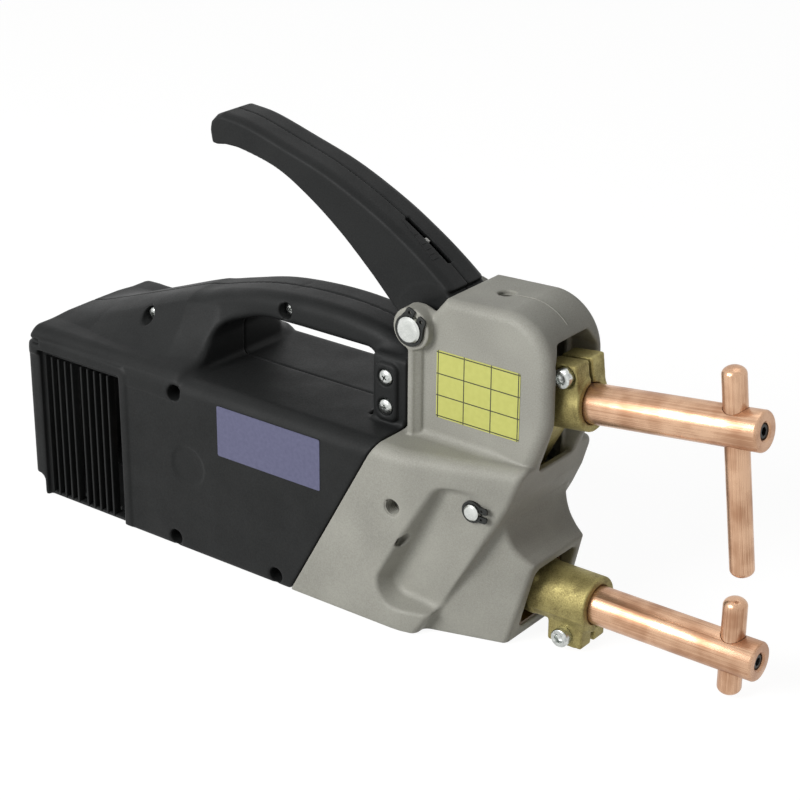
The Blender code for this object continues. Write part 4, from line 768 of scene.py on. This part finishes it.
for name, side, low_y, high_y in (("right", -1, -53, 1.8), ("left", 1, -1.8, 53)):
    half = skin(f"{name}_moulded_half", housing_field, (-221, low_y, -2.7), (30, high_y, 152), 0.9, side)
    fit(half, "machine", "black_nylon", moulded_nylon, f"{name}_housing_half")
dress(moulded_nylon, "weld_switch")


# Vent ribs: thin upright ribs moulded into the grille of each side, ten to a side, with a wider web in
# front of the sixth.
def pattern(name, **inputs):
    """Starts a geometry tree with named inputs: the tree, their identifiers, and its way in and out."""
    tree = bpy.data.node_groups.new(name, "GeometryNodeTree")
    tree.interface.new_socket("Geometry", in_out="OUTPUT", socket_type="NodeSocketGeometry")
    keys = {}
    for label, kind in inputs.items():
        keys[label] = tree.interface.new_socket(label, in_out="INPUT", socket_type=f"NodeSocket{kind}").identifier
    return tree, keys, tree.nodes.new("NodeGroupInput").outputs, tree.nodes.new("NodeGroupOutput")


def realize(tree, shape, given, out):
    """Ends a tree: real geometry in the material that it is given."""
    shape = add(tree, "GeometryNodeRealizeInstances", {"Geometry": shape})
    shape = add(tree, "GeometryNodeSetMaterial", {"Geometry": shape, "Material": given["Finish"]})
    feed(tree, out, {0: shape})


def grow(name, tree, keys, values, points=()):
    """Runs a tree with its inputs set, and gives the result as a plain mesh object."""
    mesh = bpy.data.meshes.new(name)
    mesh.from_pydata([Vector(p) * MM for p in points], [], [])
    piece = put(name, mesh)
    made = piece.modifiers.new("grow", "NODES")
    made.node_group = tree
    for label, value in values.items():
        made[keys[label]] = value
    settle(piece)
    piece.data.set_sharp_from_angle(angle=math.radians(35))
    return piece


tree, rib_keys, given, out = pattern("vent_ribs", Count="Int", Pitch="Float", Web="Float", Thickness="Float",
                                     Depth="Float", Height="Float", Start="Vector", Finish="Material")
step = add(tree, "ShaderNodeCombineXYZ", {"X": given["Pitch"]})
line = add(tree, "GeometryNodeMeshLine", {"Count": given["Count"], "Start Location": given["Start"], "Offset": step})
index = add(tree, "GeometryNodeInputIndex")
half_way = add(tree, "ShaderNodeMath", {0: given["Count"], 1: 2.0}, operation="DIVIDE")
past = add(tree, "FunctionNodeCompare", {0: index, 1: half_way}, operation="GREATER_EQUAL")
shift = add(tree, "ShaderNodeMath", {0: past, 1: given["Web"]}, operation="MULTIPLY")
shift = add(tree, "ShaderNodeCombineXYZ", {"X": shift})
line = add(tree, "GeometryNodeSetPosition", {"Geometry": line, "Offset": shift})
section = add(tree, "GeometryNodeCurvePrimitiveQuadrilateral", {"Width": given["Thickness"], "Height": given["Depth"]})
section = add(tree, "GeometryNodeFilletCurve", {"Curve": section, "Radius": 0.4 * MM, "Count": 4},
              mode="POLY")
rise = add(tree, "ShaderNodeCombineXYZ", {"Z": given["Height"]})
stem = add(tree, "GeometryNodeCurvePrimitiveLine", {"End": rise})
rib = add(tree, "GeometryNodeCurveToMesh", {"Curve": stem, "Profile Curve": section, "Fill Caps": True})
ribs = add(tree, "GeometryNodeInstanceOnPoints", {"Points": line, "Instance": rib})
realize(tree, ribs, given, out)
for name, side in (("right", -1), ("left", 1)):
    rib_values = {"Count": 10, "Pitch": 5.05 * MM, "Web": 2.3 * MM, "Thickness": 1.3 * MM, "Depth": 5.2 * MM,
                  "Height": 85 * MM, "Start": Vector((-206.8, side * 44.2, 1)) * MM, "Finish": moulded_nylon}
    fit(grow(f"{name}_vent_ribs", tree, rib_keys, rib_values), "machine", "black_nylon", moulded_nylon)

# Cord inlet: a moulded rubber bush that guards the mouth of the supply cord's hole. It is pressed into the
# rear wall, and its round collar lies on the outside.
# Moulded rubber: deep black, matt, with a dusty bloom in patches of about 3 mm
soft_rubber, tree, _, bloom = finish("moulded_black_rubber", (3, 4.0))
coat(tree, bloom, bloom, ("#161616", "#262727"), 0.75, (0.2, 0.1))
collar = [(4.6, -1.5), (10.4, -1.5), (11.3, -1.3), (11.9, -0.7), (12, -0.3), (8.7, -0.3), (8.7, 8.6), (8.3, 9), (5, 9),
          (4.6, 8.6), (4.6, -1.5)]
bush = turned("inlet_bush", collar, (rear_x, 0, inlet_z), (1, 0, 0))
fit(bush, "machine", "rubber", soft_rubber, "cable_inlet_bush")


# Housing screws: zinc-plated cross-recess screws, sunk in round wells along the right half. The tree
# sets one on each point and turns each head to its own angle.
def cross_screw(name, profile, recess):
    """A screw along +Z with its head face near z = 0 and a cross recess."""
    piece = turned(name, profile, (0, 0, 0), (0, 0, 1), 40)
    arm_half, middle = 0.55, profile[0][1] - 0.2
    cutters = []
    for wide, tall in ((recess, arm_half), (arm_half, recess)):
        bm = bmesh.new()
        bmesh.ops.create_cube(bm, size=1.0)
        for vert in bm.verts:
            taper = 1.0 if vert.co.z < 0 else 0.45
            vert.co *= Vector((2 * wide * taper, 2 * tall * taper, 4)) * MM
            vert.co.z += middle * MM
        cutters.append(make("recess", bm))
    return machine(piece, cutters)


tree, screw_keys, given, out = pattern("set_screws", Geometry="Geometry", Screw="Object", Heading="Rotation",
                                       Seed="Int", Finish="Material")
screw = add(tree, "GeometryNodeObjectInfo", {"Object": given["Screw"]}).outputs["Geometry"]
set_ = add(tree, "GeometryNodeInstanceOnPoints", {"Points": given["Geometry"], "Instance": screw,
                                                  "Rotation": given["Heading"]})
turn = add(tree, "FunctionNodeRandomValue", {2: 0.0, 3: math.pi, "Seed": given["Seed"]}, data_type="FLOAT").outputs[1]
turn = add(tree, "ShaderNodeCombineXYZ", {"Z": turn})
set_ = add(tree, "GeometryNodeRotateInstances", {"Instances": set_, "Rotation": turn, "Local Space": True})
realize(tree, set_, given, out)


def set_screws(name, screw, spots, heading, seed):
    """Copies of a screw on spots, all with one heading."""
    turn = Vector(heading).to_track_quat("Z", "Y").to_euler()
    values = {"Screw": screw, "Heading": turn, "Seed": seed, "Finish": zinc_plate}
    return grow(name, tree, screw_keys, values, spots)


for number, (x, z, face, deep) in enumerate(side_screws):
    seat = face - deep + 0.3
    reach = seat + 10
    profile = [(0, -2.6), (1.6, -2.6), (2.8, -2.3), (3.5, -1.6), (3.8, -0.8), (3.8, 0), (1.9, 0), (1.9, reach - 1),
               (1.2, reach), (0, reach)]
    screw = cross_screw("housing_screw", profile, 2.0)
    one = set_screws(f"well_screw_{number + 1}", screw, [(x, -seat, z)], (0, 1, 0), number)
    fit(one, "machine", "bright_steel", zinc_plate, f"housing_screw_{number + 1}")
    bpy.data.objects.remove(screw)

# Handle screws: four zinc-plated pan-head screws with cross recesses, two on each side. They go through
# the housing's pads into tabs of the casting.
profile = [(0, 0), (1.6, 0), (2.9, 0.25), (3.8, 0.8), (4.2, 1.5), (4.2, 2.2), (1.9, 2.2), (1.9, 10.2), (1.2, 11),
           (0, 11)]
for name, side, numbers in (("right", -1, (1, 2)), ("left", 1, (3, 4))):
    screw = cross_screw("pad_screw", profile, 2.3)
    spots = [(x, side * 27.7, z) for x, z in pad_screws]
    pair = set_screws(f"{name}_pad_screws", screw, spots, (0, -side, 0), 7 + side)
    fit(pair, "machine", "bright_steel", zinc_plate, *(f"handle_screw_{n}" for n in numbers))
    bpy.data.objects.remove(screw)

# Blank blue film on the right side of the housing: printed vinyl like the yellow one, cut with round
# corners and pressed on, left bare.
# Printed vinyl: a flat greyish blue with a satin face, faintly mottled over about 2 mm
blue_film, tree, _, film_grain = finish("blue_printed_vinyl", (2, 3.0))
coat(tree, film_grain, film_grain, ("#4E4F6C", "#646582"), 0.45, (0.2, 0.1))
film("housing_film", (-76, 64), (-7, 92.4), -body_half, blue_film)

# Squeeze lever: two moulded nylon halves clamped on a steel crank. A slot along the top shows the white
# pointer of the force setting, with a moulded scale beside it.
top_line = [(-100.5, 236.5), (-84, 234.5), (-59, 227.5), (-30, 218.5), (-1, 205.5), (20, 193.5), (35, 183.5),
            (47.6, 174)]
under_line = [(16, 154), (8, 162), (-4, 173.5), (-22, 189), (-42, 203), (-63, 214), (-86, 219.5), (-98, 220.2)]
tip_line = [(-103.8, 219.2), (-106.9, 219.6), (-107.6, 222.5), (-108.2, 226.5), (-107.4, 231), (-104.6, 234.8)]
slot_rear, slot_front = Vector((5.5, 0, 200)), Vector((33, 0, 185))


def lever_field(where, side):
    """One half of the lever: side -1 is the right one."""
    x, y, z = where
    wing = np.abs(y)
    edge = smooth_line(top_line) + smooth_line(under_line) + tip_line
    under_round = np.clip((along(top_line, x) - z) / 6, 0, 1)
    half = ramp(x, (-105, 47), (14, 15))
    body = corner(outline(edge, x, z), wing - half, 5.2 - 3.6 * under_round)
    hub = radial(x, z, lever_axis)
    body = weld(body, corner(hub - 19.3, wing - 15, 1.2), 1.5)
    body = corner(body, wing - 15, 1.0)
    hollow = np.minimum(body + 2.6, np.maximum(hub - 16, wing - 11.4))
    hollow = np.minimum(hollow, slab((x, wing, z), (24, -20, 120), (60, 11.4, 152)))
    body = carve(body, hollow, 0.4)
    slot = [(5.5, 188), (33, 173), (39, 194), (11.5, 209)]
    body = carve(body, np.maximum(outline(slot, x, z), wing - 1.9), 0.4)
    body = carve(body, hub - 7.1, 0.4)
    return corner(body, 0.15 - side * y, 0.45)


for name, side, low_y, high_y in (("right", -1, -16.8, 1.4), ("left", 1, -1.4, 16.8)):
    half = skin(f"lever_{name}_shell", lever_field, (-111, low_y, 134.5), (55.5, high_y, 239), 0.7, side)
    fit(half, "lever", "black_nylon", moulded_nylon, f"lever_{name}_half")

# Scale of the force setting: a wedge of raised lines beside the slot, on the lever's right half. It is
# moulded in one with the nylon.
slot_way = (slot_front - slot_rear).normalized()
slot_up = Vector((-slot_way.z, 0, slot_way.x))
pointer_at = Vector((21.6, 0, 191.2))


def on_lever(reach, side):
    """A point on the lever's top, measured along the slot from the pointer and to the side of the middle."""
    spot = pointer_at + slot_way * reach
    return spot.x, side, float(along(top_line, spot.x)) + 0.02


ticks = ((-3.7, -4, -5.9), (2.6, -4.3, -7.5), (6, -4.5, -8.1), (9, -4.7, -8.8), (12, -4.9, -9.5))
lines = [[on_lever(reach, a), on_lever(reach, b)] for reach, a, b in ticks]
lines.append([on_lever(reach, -4.2 - 5.3 * (reach + 14.2) / 25.8) for reach in np.linspace(-14.2, 11.6, 12)])
fit(beads("force_scale.001", lines, 0.22), "lever", "black_nylon", moulded_nylon)

# Lever crank, toggle link, their pins and the spring's guide rod: flame-cut and ground steel plate with
# ground pins pressed in, hidden in the head and the lever.
# Ground steel: pale and bright, with fine grinding marks 0.4 mm apart and faint smudges of 5 mm
ground_steel, tree, here, smudge = finish("ground_steel", (5, 3.0))
drawn = add(tree, "ShaderNodeMapping", {"Vector": here, "Scale": (2.5, 0.1, 2.5)})
marks = add(tree, "ShaderNodeTexNoise", {"Vector": drawn, "Scale": 1 / MM, "Detail": 3.0})
coat(tree, stretched_sum(tree, marks, smudge, 0.7, 1.3), marks, ("#BFC2BE", "#E2E4E0"), (0.36, 0.24), (0.2, 0.03),
     Metallic=1.0)
dress(ground_steel, "lever_crank", "toggle_link", "crank_pin", "arm_link_pin", "force_guide_rod")

# Force and return springs: oil-tempered wire, wound and plated. The one sits on its rod under the slot, the
# other round the lever's pin. The tree sweeps a round wire along a spiral.
tree, spring_keys, given, out = pattern("wound_wire", Radius="Float", Wire="Float", Turns="Float", Length="Float",
                                        Finish="Material")
coil = {"Resolution": 40, "Rotations": given["Turns"], "Start Radius": given["Radius"], "End Radius": given["Radius"],
        "Height": given["Length"]}
coil = add(tree, "GeometryNodeCurveSpiral", coil)
section = add(tree, "GeometryNodeCurvePrimitiveCircle", {"Resolution": 12, "Radius": given["Wire"]})
wire = add(tree, "GeometryNodeCurveToMesh", {"Curve": coil, "Profile Curve": section, "Fill Caps": True})
realize(tree, wire, given, out)


def coil_spring(name, start, heading, radius, wire, pitch, turns):
    """Wire of a given radius wound round an axis."""
    values = {"Radius": radius * MM, "Wire": wire * MM, "Turns": turns, "Length": pitch * turns * MM,
              "Finish": zinc_plate}
    piece = grow(name, tree, spring_keys, values)
    turn = Vector(heading).to_track_quat("Z", "Y").to_matrix().to_4x4()
    piece.data.transform(Matrix.Translation(Vector(start) * MM) @ turn)
    return piece


def on_force_axis(reach, rise=0.0):
    """A point by the force spring's axis, measured along the slot from below the pointer."""
    return pointer_at + slot_up * (rise - 10.5) + slot_way * reach


spring = coil_spring("force_coil", on_force_axis(6), slot_way, 3.6, 0.6, 2.4, 5)
fit(spring, "lever", "bright_steel", zinc_plate, "force_spring")
spring = coil_spring("return_coil", (lever_axis[0], -18.9, lever_axis[1]), (0, 1, 0), 7.7, 0.55, 1.6, 1.75)
fit(spring, "machine", "bright_steel", zinc_plate, "return_spring")

# Threads of the two tapped holes in the casting: cut in the aluminium at 1.25 mm pitch. Each is drawn as one
# ridge wound along its bore's wall.
for name, start, heading in (("top_thread", (top_hole_x, 0, 163), (0, 0, 1)),
                             ("side_thread", (side_hole[0], -39.5, side_hole[1]), (0, -1, 0))):
    ridge = coil_spring(name, start, heading, thread_bore, 0.5, 1.25, 7.6)
    fit(ridge, "machine", "cast_aluminium", blasted_alloy)


# Force pointer: a white acetal carriage, moulded in one with the finger that stands up in the slot. It
# slides on the steel guide rod.
def pointer_field(where):
    """The pointer's carriage and finger."""
    x, y, z = where
    body = bar(where, on_force_axis(-3), on_force_axis(3), 5, 0.5)
    reach = (x - pointer_at.x) * slot_way.x + (z - pointer_at.z) * slot_way.z
    rise = (x - pointer_at.x) * slot_up.x + (z - pointer_at.z) * slot_up.z
    finger = slab((reach, y, rise), (-1.5, -1.3, -10.5), (1.5, 1.3, 0), 0.4)
    body = weld(body, finger, 0.6)
    return carve(body, bar(where, on_force_axis(-9), on_force_axis(9), 2.3), 0.3)


pointer = skin("white_pointer", pointer_field, (7, -6, 172), (27, 6, 193), 0.3)
fit(pointer, "force_pointer", "white_plastic", white_acetal, "force_pointer")


# Pivot pins and circlips: ground steel pins with chamfered ends, each kept by a black spring-steel
# circlip in a groove at either side. The circlip's ears have holes for the pliers.
def pivot_pin(name, axis, radius, reach):
    """A pin across the machine, chamfered at both ends."""
    end = [(0, -reach), (radius - 1.3, -reach), (radius - 0.9, -reach + 0.1), (radius, -reach + 1.0)]
    profile = end + [(r, -s) for r, s in reversed(end)]
    return turned(name, profile, (axis[0], 0, axis[1]), (0, 1, 0), 96)


def circlip(name, axis, inner, heading, low, high):
    """An open ring, broadest at its back, with a square ear and a hole for the pliers at each end."""
    mouth, tall, reach = inner * 0.18, inner * 0.9, 0.55 * inner + 6.4
    opening = math.degrees(math.asin(mouth / inner))
    half = bend((reach - 0.7, mouth + 0.7), 0.7, -90, 0, 3) + bend((reach - 1.5, tall - 1.5), 1.5, 0, 90, 5)
    half += [(inner * 0.98, tall)] + bend((-0.3, 0), inner + 1.2, 62, 180, 40)
    ring = half + [(u, -v) for u, v in reversed(half[:-1])] + bend((0, 0), inner, 360 - opening, opening, 60)
    holes = [bend((inner + 1.2, side * inner * 0.53), 0.12 * inner + 0.1, 0, 330, 11) for side in (-1, 1)]
    edge = 0.12
    curve = traced(name, [[(u, v, 0) for u, v in loop] for loop in [ring] + holes], True)
    curve.dimensions = "2D"
    curve.fill_mode = "BOTH"
    curve.extrude = (high - low) / 2 - edge
    curve.bevel_depth = edge
    curve.bevel_resolution = 1
    curve.offset = -edge
    bm = bmesh.new()
    bm.from_mesh(curve_mesh(curve))
    bmesh.ops.remove_doubles(bm, verts=bm.verts, dist=1e-4)
    turn = math.radians(heading)
    side_view = Matrix(((math.cos(turn), -math.sin(turn), 0, axis[0]), (0, 0, -1, (low + high) / 2),
                        (math.sin(turn), math.cos(turn), 0, axis[1]), (0, 0, 0, 1)))
    bmesh.ops.transform(bm, matrix=Matrix.Scale(MM, 4) @ side_view, verts=bm.verts)
    return make(name, bm)


for name, axis, radius, reach, face, heading in (("lever_pivot", lever_axis, 6.8, 32.4, boss_half, 63),
                                                 ("arm_pivot", arm_axis, 4.2, 41.3, panel_half, -2)):
    fit(pivot_pin(f"{name}_ground_pin", axis, radius, reach), "machine", "bright_steel", ground_steel, f"{name}_pin")
    for label, side in (("right", -1), ("left", 1)):
        low, high = sorted((side * (face + 0.3), side * (face + 1.5)))
        clip = circlip(f"{name}_clip_{label}", axis, radius + 0.3, heading if side < 0 else heading + 180, low, high)
        fit(clip, "machine", "black_steel", black_oxide, f"{name}_circlip_{label}")

# Studio: a pale floor under a white surround, one large soft light to the left of the camera and a
# weaker one from above. The camera stands where the photograph was taken from.
floor_paint, tree, _ = finish("pale_studio_floor")
paint = tree.nodes["Principled BSDF"]
feed(tree, paint, {"Base Color": colour("#D8D8D6"), "Roughness": 0.9})


def in_view(tree):
    """1 for what the camera sees, also in a reflection or through glass, and 0 for light on its way."""
    rays = add(tree, "ShaderNodeLightPath").outputs
    seen = {0: rays["Is Camera Ray"], 1: rays["Is Glossy Ray"]}
    seen = {0: add(tree, "ShaderNodeMath", seen, operation="MAXIMUM"), 1: rays["Is Transmission Ray"]}
    return add(tree, "ShaderNodeMath", seen, operation="MAXIMUM")


share = add(tree, "ShaderNodeMath", {0: in_view(tree), 1: 0.76}, operation="MULTIPLY")
glow = add(tree, "ShaderNodeEmission", {"Strength": 1.22})
mixed = add(tree, "ShaderNodeMixShader", {0: share, 1: paint, 2: glow})
feed(tree, tree.nodes["Material Output"], {"Surface": mixed})
bm = bmesh.new()
bmesh.ops.create_grid(bm, x_segments=1, y_segments=1, size=4.0)
bmesh.ops.translate(bm, vec=(0, 0, -0.0006), verts=bm.verts)
floor = make("studio_floor", bm)
floor.data.materials.append(floor_paint)

world = bpy.data.worlds.new("white_surround")
bpy.context.scene.world = world
world.use_nodes = True
tree = world.node_tree
level = add(tree, "ShaderNodeMapRange", {"Value": in_view(tree), "To Min": 0.12, "To Max": 1.0})
feed(tree, tree.nodes["Background"], {"Color": (1.0, 1.0, 1.0, 1.0), "Strength": level})

for name, spot, aim, size, power in (("key_softbox", (-0.45, -1.5, 0.95), (0, 0, 0.1), 0.9, 28.0),
                                     ("top_softbox", (0.2, 0.3, 1.7), (0, 0, 0.1), 1.2, 3.4)):
    lamp = bpy.data.lights.new(name, "AREA")
    lamp.size = size
    lamp.energy = power
    light = put(name, lamp)
    light.location = spot
    light.rotation_euler = (Vector(aim) - Vector(spot)).to_track_quat("-Z", "Y").to_euler()

camera = put("camera", bpy.data.cameras.new("camera"))
camera.data.sensor_width = 36.0
camera.data.lens = 96.29
ahead = Vector((-0.5540, 0.7286, -0.4029)).normalized()
level_right = Vector((0.7960, 0.6052, 0.0)).normalized()
roll = math.radians(0.402)
level_up = level_right.cross(ahead)
right = level_right * math.cos(roll) + level_up * math.sin(roll)
up = level_up * math.cos(roll) - level_right * math.sin(roll)
camera.matrix_world = Matrix.Translation((0.6140, -0.8003, 0.5431)) @ Matrix((right, up, -ahead)).transposed().to_4x4()
bpy.context.scene.camera = camera

bpy.context.scene.view_settings.view_transform = "Standard"
